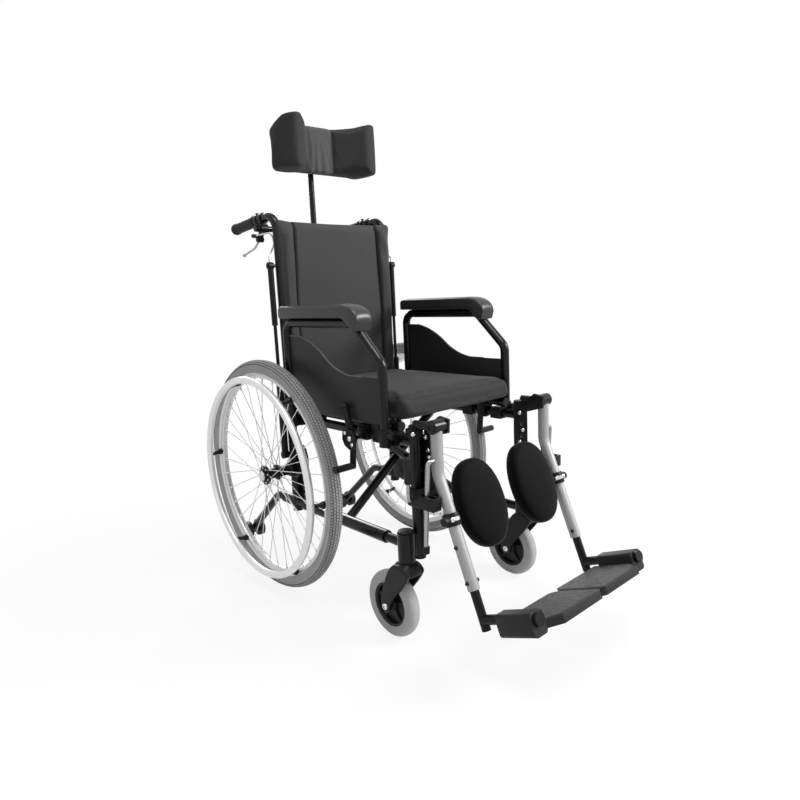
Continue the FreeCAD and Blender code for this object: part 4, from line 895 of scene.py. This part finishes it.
back = {"half": 187.0, "z0": 508.0, "z1": 948.0, "front": -24.0, "rear": 13.0, "crease": -13.0, "seam": 141.0,
        "sleeve": 157.0, "hem": 15.0, "bulge": 4, "draw": 5, "drawReach": 9, "dip": 4.0, "dipReach": 60,
        "seamRun": (2.5, 90, 3.0), "groove": (8.0, 3.6), "sleeveGroove": (3.2, 3.4), "foldsFrom": 780,
        "folds": (1.8, 1.0), "slack": 1.4, "sag": (1.2, 1.4), "dark": (2.6, 2.4), "sleeveDark": 0.7,
        "puff": {"voxel": 5.0, "pressure": 3.0, "cap": 5.0, "ease": 2}}


def backPlan(b, x):
    # front line of the back: a nearly flat middle panel and two rounded bolsters
    middle = b["crease"] - b["bulge"] * (1 - (x / b["seam"]) ** 2)
    share = np.clip((np.abs(x) - b["seam"]) / (b["half"] - b["seam"]), 0, 1)
    bolster = b["crease"] + (b["front"] - b["crease"]) * np.sin(np.pi * (0.08 + 0.75 * share)) ** 0.7
    return np.where(np.abs(x) < b["seam"], middle, bolster)


def backShell(b):
    # plan outline carried up the canes, drawn in at the top and bottom hems; the top dips a little
    x = b["half"] * np.sin(np.linspace(-1, 1, 150) * np.pi / 2)
    xr = b["half"] * np.sin(np.linspace(1, -1, 60) * np.pi / 2)
    full = np.sqrt(np.clip(1 - (xr / b["half"]) ** 16, 0, 1))
    rearLine = np.column_stack([xr, -6 + (b["rear"] + 6) * full])
    plan = np.concatenate([np.column_stack([x, backPlan(b, x)]), rearLine[1:-1]])
    middle = (b["front"] + b["rear"]) / 2
    z = np.linspace(b["z0"], b["z1"], 90)[:, None]
    draw = b["draw"] * np.clip(1 - np.minimum(z - b["z0"], b["z1"] - z) / b["drawReach"], 0, None) ** 2
    px = plan[:, 0] * (1 - draw / b["half"])
    py = middle + (plan[:, 1] - middle) * (1 - draw / 20)
    high = np.clip((z - b["z1"] + b["dipReach"]) / b["dipReach"], 0, 1)
    dip = b["dip"] * (1 - (px / b["half"]) ** 2) * high
    return lofted(np.stack([px, py, z - dip], -1))


def seamX(z):
    # the seams wander a little, and lean in towards the top
    wander, wave, lean = back["seamRun"]
    share = (z - back["z0"]) / (back["z1"] - back["z0"])
    return back["seam"] + wander * np.sin(z / wave) - lean * share


def backSeams(p, b=back):
    # a sharp groove along both seams, and small folds in the bolsters towards the top;
    # behind, a groove inside each cane's sleeve and a slack panel between them
    x, y, z = p.T
    (deep, wide), (rearDeep, rearWide) = b["groove"], b["sleeveGroove"]
    (tight, loose), (hang, wave) = b["folds"], b["sag"]
    front, rear = np.clip((0 - y) / 12, 0, 1), np.clip((y - 4) / 5, 0, 1)
    off = np.abs(x) - seamX(z)
    groove = deep * bell(off, wide)
    bolster = np.clip(off / 12, 0, 1)
    high = np.clip((z - b["foldsFrom"]) / 120, 0, 1)
    folds = tight * bolster * high * np.sin(z / 13 + np.abs(x) / 9)
    folds += loose * bolster * np.sin(z / 31 + x / 15)
    slack = b["slack"] * (1 - bolster) * np.sin(x / 37 + z / 71) * np.sin(z / 54 - x / 90)
    sleeve = rearDeep * bell(np.abs(x) - b["sleeve"], rearWide)
    inside = np.clip((b["sleeve"] - np.abs(x)) / 60, 0, 1)
    sag = inside * (hang - wave * np.sin(x / 47 + z / 61) * np.sin(z / 49 - x / 77))
    return np.column_stack([x, y + front * (groove + folds + slack) - rear * (sleeve + sag), z])


def backShade(p, b=back):
    # painted shade in the seams in front, and a little less along the sleeves behind
    x, y, z = np.abs(p[:, 0]), p[:, 1], p[:, 2]
    seam, sleeve = b["dark"]
    return bell(x - seamX(z), seam) * (y < 2) + b["sleeveDark"] * bell(x - b["sleeve"], sleeve) * (y > 2)


def backRows(b):
    # stitches beside both seams in front; behind, inside the sleeves and along the top and bottom hems
    rise, across = np.linspace(b["z0"] + 6, b["z1"] - 8, 60), np.linspace(-1, 1, 40)
    inSleeve = b["sleeve"] - 5
    hems = [np.column_stack([inSleeve * across, 0 * across, z + 0 * across])
            for z in (b["z0"] + b["hem"], b["z1"] - b["hem"] - 4)]
    return [(line, (0, 1, 0)) for line in upLines(seamX(rise) - 7, rise)] \
        + [(line, (0, -1, 0)) for line in upLines(inSleeve, rise) + hems]


backMesh = moveMesh(puffed("sewn_back", backShell(back), back["puff"]), backSeams)
# painted shade in the back's seams and along its sleeves
markCrease(backMesh, backShade)
backPad = placePiece("sewn_back", backMesh, "right_back", "backFabric", ["back_upholstery"])
foldsWith(fold["backAnchor"], backPad, sewn("back_stitches", backMesh, backRows(back), "right_back"))

head = {"z0": 1075.0, "z1": 1204.0, "power": 9.0, "dip": 1.5, "cut": 26.0, "cutReach": 45, "middle": 38.0,
        "wrinkle": 3.2, "wrinkleTop": 1165, "groove": (3.5, 3.5), "wingDark": 0.6, "seamDark": (0.75, 2.4),
        "outer": ((0, 66), (48, 66), (97, 66), (131, 65.5), (142, 61), (146.5, 50), (147, 28), (146, 8),
                  (143, -12), (136, -30), (124, -45)),
        "inner": ((0, 36), (25, 36), (35, 36), (39, 35), (43, 30.5), (53, 19.5), (67, 4), (81, -12),
                  (92, -26), (101, -37), (107, -44)),
        "puff": {"voxel": 4.0, "pressure": 4.0, "cap": 4.0, "ease": 3}}


def headShell(h):
    # a band bent round the head: rounded sections between its outer and inner plan lines, from wing tip to
    # wing tip; the rear outer corners are cut down and the middle dips a little
    lines = []
    for half in (np.array(h[line], float) for line in ("outer", "inner")):
        fine = np.linspace(0, len(half) - 1, 3 * len(half))
        right = np.stack([np.interp(fine, np.arange(len(half)), half[:, k]) for k in (0, 1)], -1)
        lines.append(np.concatenate([right[:0:-1] * (-1, 1), right]))
    ring = boxRing(0.5, 0.5, h["power"], 64)
    plan = lines[0][:, None] * (0.5 - ring[:, :1]) + lines[1][:, None] * (0.5 + ring[:, :1])
    z = np.broadcast_to(h["z0"] + (h["z1"] - h["z0"]) * (0.5 + ring[:, 1]), plan.shape[:2])
    high = np.clip((z - h["z1"] + h["cutReach"]) / h["cutReach"], 0, 1)
    rear = np.clip((plan[..., 1] + 12) / 78, 0, 1) * np.clip((np.abs(plan[..., 0]) - 60) / 70, 0, 1)
    dip = h["dip"] * bell(plan[..., 0], 70)
    return lofted(np.concatenate([plan, (z - high * (dip + h["cut"] * rear ** 1.3))[..., None]], -1))


def headFolds(p, h=head):
    # wrinkles low in the middle panel that fan out downwards, and creases where the wings meet it
    x, y, z = p.T
    face = np.clip((52 - y) / 8, 0, 1) * np.clip((56 - np.abs(x)) / 14, 0, 1)
    low = np.clip((h["wrinkleTop"] - z) / 70, 0, 1)
    uneven = 0.6 + 0.4 * np.cos(x / 13 + 0.7)
    wrinkle = h["wrinkle"] * face * low * uneven * np.sin((x + 5) / (2.3 + 1.9 * low) + 0.5)
    deep, wide = h["groove"]
    crease = deep * face * bell(np.abs(x) - h["middle"], wide)
    return np.column_stack([x, y + wrinkle + crease, z])


def headShade(p, h=head):
    # painted shade on the wings against the lit middle panel, with a darker painted line in the seam where
    # they meet
    off = np.abs(p[:, 0]) - h["middle"]
    dark, wide = h["seamDark"]
    wing = h["wingDark"] * np.clip(off / 1.5, 0, 1) * np.clip((60 - p[:, 1]) / 6, 0, 1)
    return np.maximum(wing, dark * bell(off, wide) * (p[:, 1] < 46))


headMesh = moveMesh(puffed("sewn_headrest", headShell(head), head["puff"]), headFolds)
# painted shade on the headrest's wings and in its seams
markCrease(headMesh, headShade)
headPad = placePiece("sewn_headrest", headMesh, "headrest", "headFabric", ["headrest_pad"])
headLines = upLines(head["middle"] - 6, np.linspace(head["z0"] + 10, head["z1"] - 34, 30))
sewn("headrest_stitches", headMesh, [(line, (0, 1, 0)) for line in headLines], "headrest")
print("seat, back and headrest sewn")

calf = {"x": -90.0, "at": 83.0, "halfW": 66.0, "halfH": 94.0, "power": 2.15, "rear": 14.7, "pivotY": -548.0,
        "bendZ": 388.0, "tilt": 21.9, "legX": -180.0, "leg": 12.2, "clamp": 95.0, "clampRing": 17.2,
        "band": (4, 16.2, 17.3), "bandBolt": 5.6, "bandWay": (-0.62, -0.78), "boss": 8.6, "bossRun": (13, 29),
        "screws": ((-1, 0, -150), (-1, 0, -222), (0.94, -0.34, -222)), "screw": (4.2, 4.6)}


def onLeg(points, c=calf):
    # tips points drawn round an upright leg, with its bend at the origin, into the chair
    a = math.radians(c["tilt"])
    x, y, z = np.asarray(points, float).T
    return np.column_stack([x, c["pivotY"] + y * math.cos(a) + z * math.sin(a),
                            c["bendZ"] - y * math.sin(a) + z * math.cos(a)])


def legSpot(x, y, z, way):
    # a point on the upright leg and the way out from it, both tipped into the chair
    spot, tip = onLeg([(x, y, z), np.add((x, y, z), way)])
    return spot, tip - spot


def calfPad(c):
    # ovals from the board at the rear to the crowned face, with a tight rolled edge in front
    depth, inset = np.array([(0, 8.5), (1.2, 7.2), (1.6, 5.0), (4, 2.2), (9, 0.7), (16, 0), (22, 0.3),
                             (26.5, 1.6), (29.5, 4.0), (31.6, 7.5), (33.0, 12), (34.6, 20), (35.8, 30),
                             (36.6, 42), (37.0, 54)]).T
    ring = boxRing(1, 1, c["power"], 96)
    x = c["x"] + (c["halfW"] - inset)[:, None] * ring[:, 0]
    z = -c["at"] + (c["halfH"] - inset)[:, None] * ring[:, 1]
    y = np.broadcast_to((c["rear"] - depth)[:, None], x.shape)
    points, quads = lofted(np.stack([x, y, z], -1))
    return onLeg(points), quads


for piece in bothSides("calf_cushion", calfPad(calf), "calf", "padVinyl", 50, ["calf_pad"]):
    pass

armPad = {"x": -203.0, "half": 24.0, "rear": -54.0, "front": -367.0, "top": 732.0, "low": 701.5, "drop": 27.0,
          "nose": 62.0, "fall": 34.0, "tail": 14, "tailFall": 7, "power": 8, "lean": 7.0,
          "crown": 2.5, "sunk": 2.0}


def armCushion(a):
    # sections across the pad along its length: flat below, slightly crowned above;
    # the nose rolls over and drops
    s = np.concatenate([np.linspace(0, 0.06, 8), np.linspace(0.09, 0.8, 24), np.linspace(0.82, 1, 30)])
    y = a["rear"] + (a["front"] - a["rear"]) * s
    nose = np.clip((a["front"] + a["nose"] - y) / a["nose"], 0, 1)
    tail = np.clip((y - a["rear"] + a["tail"]) / a["tail"], 0, 1)
    top = a["top"] - a["fall"] * (1 - np.sqrt(np.clip(1 - nose ** 2.4, 0, 1))) - a["tailFall"] * tail ** 2.5
    low = a["low"] - a["drop"] * np.clip(nose * 1.5 - 0.15, 0, 1) ** 1.2
    half = a["half"] * (1 - 0.08 * nose ** 4 - 0.12 * tail ** 3)
    ring = boxRing(1, 1, a["power"], 72)
    x = a["x"] + half[:, None] * ring[:, 0]
    z = low[:, None] + (top - low)[:, None] * (0.5 + 0.5 * ring[:, 1])
    z += np.clip(ring[:, 1], 0, 1) * (a["crown"] * (1 - ring[:, 0] ** 2) - a["sunk"])
    lean = y[:, None] + a["lean"] * nose[:, None] ** 2 * (0.5 - 0.5 * ring[:, 1])
    return lofted(np.stack(np.broadcast_arrays(x, lean, z), -1))


for piece in bothSides("arm_cushion", armCushion(armPad), "armrest", "armVinyl", 50, ["arm_pad"]):
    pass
print("pads done")


# push grips and handle fittings

handle = {"x": -176.0, "top": 962.0, "fall": 18.0 / 214.0, "tube": 11.1, "cableX": -197.0, "cableZ": 914.0}
grip = {"y0": 98.0, "y1": 218.0, "radius": 14.0, "bore": 11.05, "rings": 11, "ripple": 1.0, "valley": 1.1,
        "flange": 9, "end": 20, "closed": 5}
perch = {"y": 87.0, "half": 7.5, "ring": 15.2, "ease": (0.8, 0.8), "pinZ": 906.0, "armTop": 12, "armFoot": 2,
         "bow": 9, "boss": 7.6, "bossHalf": 9, "lug": 5.0, "lugReach": 4, "knob": 4.5, "knobFoot": 12,
         "knobTop": 19, "cableY": 81.0}
clamp = {"y": 66.0, "barZ": 931.0, "barBore": 8.1, "half": 8, "ring": 14.8, "barHalf": 11, "barRing": 12.2,
         "ease": (1, 0.8)}
cable = {"radius": 2.1, "behind": ((-197, 42, 914), (-180, 24, 918), (-173, 22, 893), (-180, 21, 876)),
         "lock": (-203.0, 0.0, 842.2), "rise": 18}


def onHandle(h, y):
    # a point on the handle's axis and the way the handle runs
    return np.array([h["x"], y, h["top"] - h["fall"] * y]), unit((0, 1, -h["fall"]))


def pushGrip(g, h=handle):
    # a flange, finger rings as a rippled radius, and a bulbous end, turned about the handle's axis
    a, b = (onHandle(h, y)[0] for y in (g["y0"], g["y1"]))
    span, r = np.linalg.norm(b - a), g["radius"]
    first, last = g["flange"], span - g["end"]
    s = np.linspace(first, last, 12 * g["rings"])
    wave = np.sin(np.pi * g["rings"] * (s - first) / (last - first))
    ripple = r - g["valley"] + g["ripple"] * np.abs(wave) ** 0.5
    body = [(0, g["bore"]), (0, 15.4), (1, 16.2), (3.5, 16.2), (5, 15.2), (6, r - 1)]
    end = [(span - 18.5, r + 0.3), (span - 14, r + 1.2), (span - 8, r + 1.4), (span - 3.5, r + 0.3),
           (span - 1, r - 3), (span, r - 7), (span, 0)]
    bore = [(span - g["closed"], 0), (span - g["closed"], g["bore"])]
    return turned(np.concatenate([bore, body, np.column_stack([s, ripple]), end]), a, b - a, 40)


def leverPerch(p, h=handle):
    # a clamp ring on the handle, a curved arm down to the lever's pin, and the cable's adjuster
    x, y, pinZ, cableX, cableZ = h["x"], p["y"], p["pinZ"], h["cableX"], h["cableZ"]
    tube, along = onHandle(h, y)
    ring = collar(tube, along, p["half"], h["tube"], p["ring"], p["ease"])
    s = np.linspace(0, 1, 16)
    bow = np.sin(np.pi * s)
    high, low = tube[2] - p["armTop"], pinZ - p["armFoot"]
    path = np.column_stack([np.full(16, x), y - p["bow"] * bow, high + (low - high) * s])
    arm = closedRod(path, roundRing(1, 20) * np.stack([7.5 - 1.0 * s, 6.0 + 1.5 * bow], -1)[:, None])
    boss = bar((x - p["bossHalf"], y, pinZ), (x + p["bossHalf"], y, pinZ), p["boss"], 24, 1.2)
    out, lugY, knobY = p["lugReach"], y - p["lugReach"], y + p["lugReach"]
    lug = bar((x - out, lugY, cableZ), (cableX - out, lugY, cableZ), p["lug"], 20, 1.2)
    knob = bar(*[(x, knobY, tube[2] + p[end]) for end in ("knobFoot", "knobTop")], p["knob"], 20, 1.4)
    ferrule = turned([(0, 0), (0, 3.2), (6, 3.2), (7, 2.6), (14, 2.4), (14, 0)],
                     (cableX, p["cableY"], cableZ), (0, -1, 0), 16)
    return joinShells(ring, arm, boss, lug, knob, ferrule)


def barClamp(c, h=handle):
    # a ring on the handle and a ring on the headrest bar with a web between them
    x, y, z = h["x"], c["y"], c["barZ"]
    tube, along = onHandle(h, y)
    upper = collar(tube, along, c["half"], h["tube"], c["ring"], c["ease"])
    lower = collar((x, y, z), (1, 0, 0), c["barHalf"], c["barBore"], c["barRing"], c["ease"])
    web = lofted([np.column_stack([boxRing(*size, 4, 32) + (x, y), np.full(32, at)])
                  for at, size in ((z + 8.5, (9, 7.5)), (z + 14, (8, 6.5)), (tube[2] - 11.5, (9, 7)))])
    return joinShells(upper, lower, web)


def releaseCable(c, h=handle):
    # outer cable forward from the adjuster, behind the back and out to the lock, with a ferrule at its end
    start, lock = (h["cableX"], perch["cableY"], h["cableZ"]), np.array(c["lock"])
    path = splinePath([start, *c["behind"], lock + (0, 0, c["rise"]), lock])
    ferrule = turned([(0, 0), (0, 3.4), (7, 3.4), (8, 2.8), (15, 2.5), (15, 0)], path[-1], (0, 0, 1), 16)
    return joinShells(closedRod(path, roundRing(c["radius"], 12)), ferrule)


bothSides("ribbed_grip", pushGrip(grip), "back", "gripRubber", 40, ["push_grip"])
bothSides("lever_perch", leverPerch(perch), "back", "blackPlastic", 40, ["handle_fittings"])
bothSides("bar_clamp", barClamp(clamp), "back", "blackPlastic")
bothSides("release_cable", releaseCable(cable), "back", "cableSleeve")
print("grips and handle fittings done")


# fasteners

hanger = {"out": -162.0, "in": -156.0, "bolts": ((-497, 452), (-506, 411), (-497, 380), (-500, 330)),
          "radius": 5.2, "pivotZ": 485.0, "hub": 14.5, "postX": -176.0, "postY": -480.0, "ring": 19.0,
          "ringZ": (331, 463), "ringBolt": 5.0}


def hangerBolts(h):
    # button heads through the hanger plate, and on its two clamp rings
    heads = []
    for y, z in h["bolts"]:
        for x, way in ((h["out"], -1), (h["in"], 1)):
            heads.append(boltHead((x, y, z), (way, 0, 0), h["radius"]))
    for z in h["ringZ"]:
        for wx, wy in ((-0.8, -0.6), (0.6, -0.8)):
            spot = h["postX"] + h["ring"] * wx, h["postY"] + h["ring"] * wy, z
            heads.append(boltHead(spot, (wx, wy, 0), h["ringBolt"]))
    return joinShells(*heads)


def pivotCap(h):
    # a black cover over the outer end of the leg's pivot, leaving a thin ring of the tube showing
    profile = [(-0.5, 0), (-0.5, 11.2), (1.2, 11.2), (3.2, 10), (4.4, 7.4), (4.4, 5.4), (2.4, 5), (2.4, 0)]
    return turned(profile, (calf["legX"] - h["hub"], calf["pivotY"], h["pivotZ"]), (-1, 0, 0), 36)


def legScrews(c):
    # small black screws near the lower end of the leg tube, and one above them
    spots = [legSpot(c["legX"] + c["leg"] * wx, c["leg"] * wy, z, (wx, wy, 0)) for wx, wy, z in c["screws"]]
    return joinShells(*[boltHead(*spot, *c["screw"]) for spot in spots])


def clampBoss(c):
    # a black boss at the side of the calf bracket's ring
    return bar(*onLeg([(c["legX"] - out, -3, -c["clamp"]) for out in c["bossRun"]]), c["boss"], 32, 1.6)


def clampBand(c):
    # a bright band round the calf bracket's ring and a bolt through the band
    x, z, r, (wx, wy) = c["legX"], -c["clamp"], c["clampRing"], c["bandWay"]
    band = collar(*legSpot(x, 0, z, (0, 0, 1)), *c["band"], (0.5, 0.4), 48)
    return joinShells(band, boltHead(*legSpot(x + r * wx, r * wy, z, (wx, wy, 0)), c["bandBolt"]))


bothSides("hanger_bolts", hangerBolts(hanger), "hanger", "chrome")
bothSides("pivot_cap", pivotCap(hanger), "leg", "blackPlastic")
bothSides("leg_screws", legScrews(calf), "leg", "blackPlastic")
bothSides("clamp_boss", clampBoss(calf), "calf", "blackPlastic")
bothSides("clamp_band", clampBand(calf), "calf", "chrome")

brake = {"x": -217.0, "pin": (-322.0, 436.0), "pinBolt": 6.4, "cheekOut": -228.5, "cheekIn": -223.0,
         "cheek": ((-340, 420), (-334, 412), (-318, 410), (-302, 418), (-294, 432), (-296, 448), (-304, 456),
                   (-330, 456), (-340, 448)),
         "bolts": ((-330, 423), (-306, 447)), "bolt": 4.6, "foot": (-311, 462), "tip": (-293, 510),
         "lever": (7.2, 10.2), "ease": 1.2}


def brakeHandle(b):
    # flattened ovals up the lever, fuller towards the knob
    s = np.concatenate([[0], np.linspace(0.04, 0.9, 14), [0.94, 0.97, 0.99, 1.0]])
    path = np.array(b["foot"]) + s[:, None] * (np.array(b["tip"]) - b["foot"])
    up = unit(np.array(b["tip"]) - b["foot"])
    across = np.array([up[1], -up[0]])
    swell = np.interp(s, [0, 0.04, 0.2, 0.55, 0.8, 0.9, 0.94, 0.97, 0.99, 1],
                      [0.6, 0.75, 0.8, 0.9, 1.05, 1, 0.9, 0.74, 0.5, 0.2])
    ring = boxRing(*b["lever"], 3.0, 32)
    x = b["x"] + swell[:, None] * ring[:, 0]
    yz = path[:, None] + (swell[:, None] * ring[:, 1])[..., None] * across
    return lofted(np.concatenate([x[..., None], yz], -1))


def brakeBolts(b):
    # bright button heads on the cheek, the larger one on the lever's pin
    spots = [(b["pin"], b["pinBolt"])] + [(spot, b["bolt"]) for spot in b["bolts"]]
    return joinShells(*[boltHead((b["cheekOut"], *spot), (-1, 0, 0), radius) for spot, radius in spots])


brakeCheek = flatPlate(brake["cheek"], brake["cheekOut"], brake["cheekIn"], brake["ease"])
bothSides("brake_handle", brakeHandle(brake), "brake", "blackPlastic")
bothSides("brake_cheek", brakeCheek, "frame", "satinPaint")
bothSides("brake_bolts", brakeBolts(brake), "frame", "chrome")
print("fasteners done")


# CAD nodes that keep their shape, or have their edges eased

plainLooks = {
    "blackPaint": ("side_frame", "anti_tip_bar", "back_cane", "arm_tube", "cross_brace_a", "cross_brace_b",
                   "headrest_bar", "headrest_post"),
    "satinPaint": ("frame_fittings", "lock_cylinder", "lock_rod", "brake_lever", "leg_hanger",
                   "leg_extension", "calf_bracket", "headrest_bracket"),
    "rodSteel": ("release_lever", "elevating_rod", "rod_lever"),
    "gripRubber": ("anti_tip_rollers",),
    "guardPlastic": ("side_panel",),
    "satinSilver": ("leg_tube",),
    "footPlastic": ("footplate",),
}
nodeLooks = {node: look for look, group in plainLooks.items() for node in group}
for name, node in nodes.items():
    plain = nodeLooks.get(name.replace("right_", "").replace("left_", ""), "blackPlastic")
    node.data.materials.clear()
    node.data.materials.append(paint[plain])


def paintFaces(node, look, rule):
    # a second finish on the faces whose centres, in mm, rule picks
    mesh = nodes[node].data
    picked = rule(inDrawing(readRows(mesh.polygons, "center")))
    mesh.materials.append(paint[look])
    mesh.polygons.foreach_set("material_index", picked.astype(np.int32))
    mesh.update()


legRod = {"sleeveTop": 236.3, "gripFoot": 368.5}
twoTone = (  # node, second finish, faces that have it
    ("elevating_rod", "blackPlastic", lambda p: p[:, 2] < legRod["sleeveTop"]),
    ("leg_tube", "blackPaint",
     lambda p: np.hypot(p[:, 1] - calf["pivotY"], p[:, 2] - hanger["pivotZ"]) < hanger["hub"] + 0.4),
    ("rod_lever", "gripRubber", lambda p: p[:, 2] > legRod["gripFoot"]),
)
easedNodes = (  # node, body, slot, finish, width of the rounded edge
    ("frame_fittings", "frame", "black_frame", "satinPaint", 1.2),
    ("leg_hanger", "hanger", "black_frame", "satinPaint", 1.0),
    ("brake_lever", "brake", "black_plastic", "satinPaint", 1.0),
    ("side_panel", "armrest", "black_plastic", "guardPlastic", 1.1),
    ("footplate", "footplate", "black_plastic", "footPlastic", 2.2),
    ("calf_bracket", "calf", "black_plastic", "satinPaint", 1.0),
)
for side in ("right_", "left_"):
    for node, look, rule in twoTone:
        paintFaces(side + node, look, rule)
    for node, body, slot, look, width in easedNodes:
        mesh = easedMesh(side + node, width)
        placePiece(side + "eased_" + node, mesh, side + body, look, [side + node])

footTop = {"edges": ((-157, -128, -40), (-133, -155, -40), (-12, -155, -40), (-6, -149, -53)), "z": -306.0,
           "sink": 0.5, "pitch": 7.5, "shake": 0.32, "reach": 5.6, "rise": 1.1, "step": 1.25, "border": 2,
           "least": 0.05, "contrast": 1.6, "seed": 5}


def pebbledTop(f):
    # a sheet of domes on the plate, ruled between its front and rear edges along x:
    # height = rise * (1 - (distance to the nearest seed / reach)^2), the seeds on a shaken grid,
    # the sheet's edges left low
    x, front, rear = np.array(f["edges"], float).T
    at = np.arange(x[0], x[-1], f["step"])
    share = np.linspace(0, 1, int((rear.max() - front.min()) / f["step"]))
    px, py = np.broadcast_arrays(at[:, None], np.interp(at, x, front)[:, None] * (1 - share)
                                 + np.interp(at, x, rear)[:, None] * share)
    draws = np.random.default_rng(f["seed"])
    seeds = np.stack(np.meshgrid(np.arange(x[0], x[-1], f["pitch"]),
                                 np.arange(front.min(), rear.max(), f["pitch"])), -1).reshape(-1, 2)
    seeds = seeds + draws.uniform(-f["shake"], f["shake"], seeds.shape) * f["pitch"]
    near = np.hypot(px[..., None] - seeds[:, 0], py[..., None] - seeds[:, 1]).min(-1)
    edge = np.minimum.outer(np.minimum(at - at[0], at[-1] - at), np.minimum(share, 1 - share) * 100)
    dome = np.clip(1 - (near / f["reach"]) ** 2, f["least"], 1)
    lift = f["rise"] * dome * np.clip(edge / f["border"], f["least"], 1)
    top = np.stack([px, py, f["z"] + lift], -1)
    under = np.stack([px, py, np.full(px.shape, f["z"] - f["sink"])], -1)[:, [-1, 0]]
    points, quads = lofted(np.concatenate([top, under], 1))
    return onLeg(points), quads


def pebbleDepth(p, f=footTop):
    # painted shade: 1 in the valleys between the domes, 0 on their crowns
    foot, up = legSpot(0, 0, f["z"], (0, 0, 1))
    return 1 - (p - foot) @ up / f["rise"] * f["contrast"]


footTops = bothSides("pebbled_top", pebbledTop(footTop), "footplate", "pebbledPlastic", 60)
for piece in footTops:
    # painted shade in the valleys of the pebbled top
    markCrease(piece.data, pebbleDepth)

guard = {"x": -203.0, "low": 573.5, "front": -403.0, "bead": 1.9}


def guardHighlightBead(g):
    # a round bead of lighter plastic along the guard's wavy top edge, a painted highlight line, read from the
    # CAD guard's own points
    points = meshPoints(nodes["right_side_panel"].data)
    top = points[(points[:, 2] > g["low"]) & (points[:, 1] > g["front"])][:, 1:]
    top = np.unique(np.round(top, 2), axis=0)
    return closedRod(np.column_stack([np.full(len(top), g["x"]), top]), roundRing(g["bead"], 10))


# a painted highlight line along the guard's top edge
bothSides("guard_bead", guardHighlightBead(guard), "armrest", "guardEdge")
print("frame painted")


# stage

view = {"place": (-1.0324, -1.1487, 0.7501), "azimuth": -41.49, "elevation": 9.77, "roll": -2.72,
        "lens": 27.93, "sensor": 36}
stage = {"floor": 60.0, "white": 1.0, "shadow": 0.13, "world": 0.19, "bounce": 0.93, "seen": 0.09,
         "pool": (0.5, 1.9)}
lamps = (  # name, place, aims at, size, watts
    ("keyLamp", (2.1, -2.7, 2.3), (0, 0, 0.55), 1.3, 190.0),
    ("topLamp", (-0.4, -0.8, 3.6), (0, 0, 0.4), 1.6, 80.0),
    ("sideLamp", (-3.2, -1.2, 1.6), (0, 0, 0.45), 1.2, 4.0),
    ("rearLamp", (1.4, 3.2, 2.2), (0, 0, 0.6), 1.4, 90.0),
)


def makeCamera(v):
    data = bpy.data.cameras.new("camera")
    data.lens = v["lens"]
    data.sensor_width = v["sensor"]
    camera = addObject("camera", data)
    camera.matrix_world = Matrix.Translation(Vector(v["place"]))
    for angle, axis in ((v["azimuth"], "Z"), (90 - v["elevation"], "X"), (v["roll"], "Z")):
        camera.matrix_world = camera.matrix_world @ Matrix.Rotation(math.radians(angle), 4, axis)
    bpy.context.scene.camera = camera


def seenDirectly(tree):
    # 1 for camera, mirror and glass rays, 0 for the light that falls on the chair
    path = addNode(tree, "LightPath").outputs
    direct = maths(tree, "ADD", path["Is Camera Ray"], path["Is Glossy Ray"])
    return maths(tree, "ADD", direct, path["Is Transmission Ray"], clamp=True)


def makeWorld(s):
    # plain white where it is seen, and weaker where it lights the chair
    world = bpy.data.worlds.new("studio")
    bpy.context.scene.world = world
    world.use_nodes = True
    tree = world.node_tree
    background = tree.nodes["Background"]
    background.inputs["Color"].default_value = (1, 1, 1, 1)
    glow = remap(tree, seenDirectly(tree), start=s["world"], end=s["white"])
    tree.links.new(glow, background.inputs["Strength"])


def makeFloor(s):
    # glows white where it is seen, and takes the chair's shadow in a pool around the chair
    half = s["floor"] / 2
    mesh = bpy.data.meshes.new("floor")
    corners = [(-half, -half, 0), (half, -half, 0), (half, half, 0), (-half, half, 0)]
    mesh.from_pydata(corners, [], [(0, 1, 2, 3)])
    addObject("floor", mesh)
    look = bpy.data.materials.new("paleFloor")
    look.use_nodes = True
    tree = look.node_tree
    tree.nodes.remove(tree.nodes["Principled BSDF"])
    direct = seenDirectly(tree)
    inner, outer = s["pool"]
    away = addNode(tree, "VectorMath", {0: objectPlace(tree)}, operation="LENGTH").outputs["Value"]
    near = remap(tree, away, low=outer, high=inner, interpolation_type="SMOOTHSTEP")
    tone = remap(tree, direct, start=s["bounce"], end=times(tree, near, s["seen"]))
    white = maths(tree, "SUBTRACT", s["white"], times(tree, near, s["shadow"]))
    matt = addNode(tree, "BsdfDiffuse", {"Color": tone})
    glow = addNode(tree, "Emission", {"Color": (1, 1, 1, 1), "Strength": times(tree, direct, white)})
    both = addNode(tree, "AddShader", {0: matt.outputs[0], 1: glow.outputs[0]})
    tree.links.new(both.outputs[0], tree.nodes["Material Output"].inputs["Surface"])
    mesh.materials.append(look)


def makeLamps(rows):
    for name, place, aim, size, watts in rows:
        lamp = bpy.data.lights.new(name, "AREA")
        lamp.size = size
        lamp.energy = watts
        holder = addObject(name, lamp)
        holder.location = place
        holder.rotation_euler = (Vector(aim) - Vector(place)).to_track_quat("-Z", "Y").to_euler()


makeCamera(view)
makeWorld(stage)
makeFloor(stage)
makeLamps(lamps)
bpy.context.scene.view_settings.view_transform = "Standard"
print("stage done")
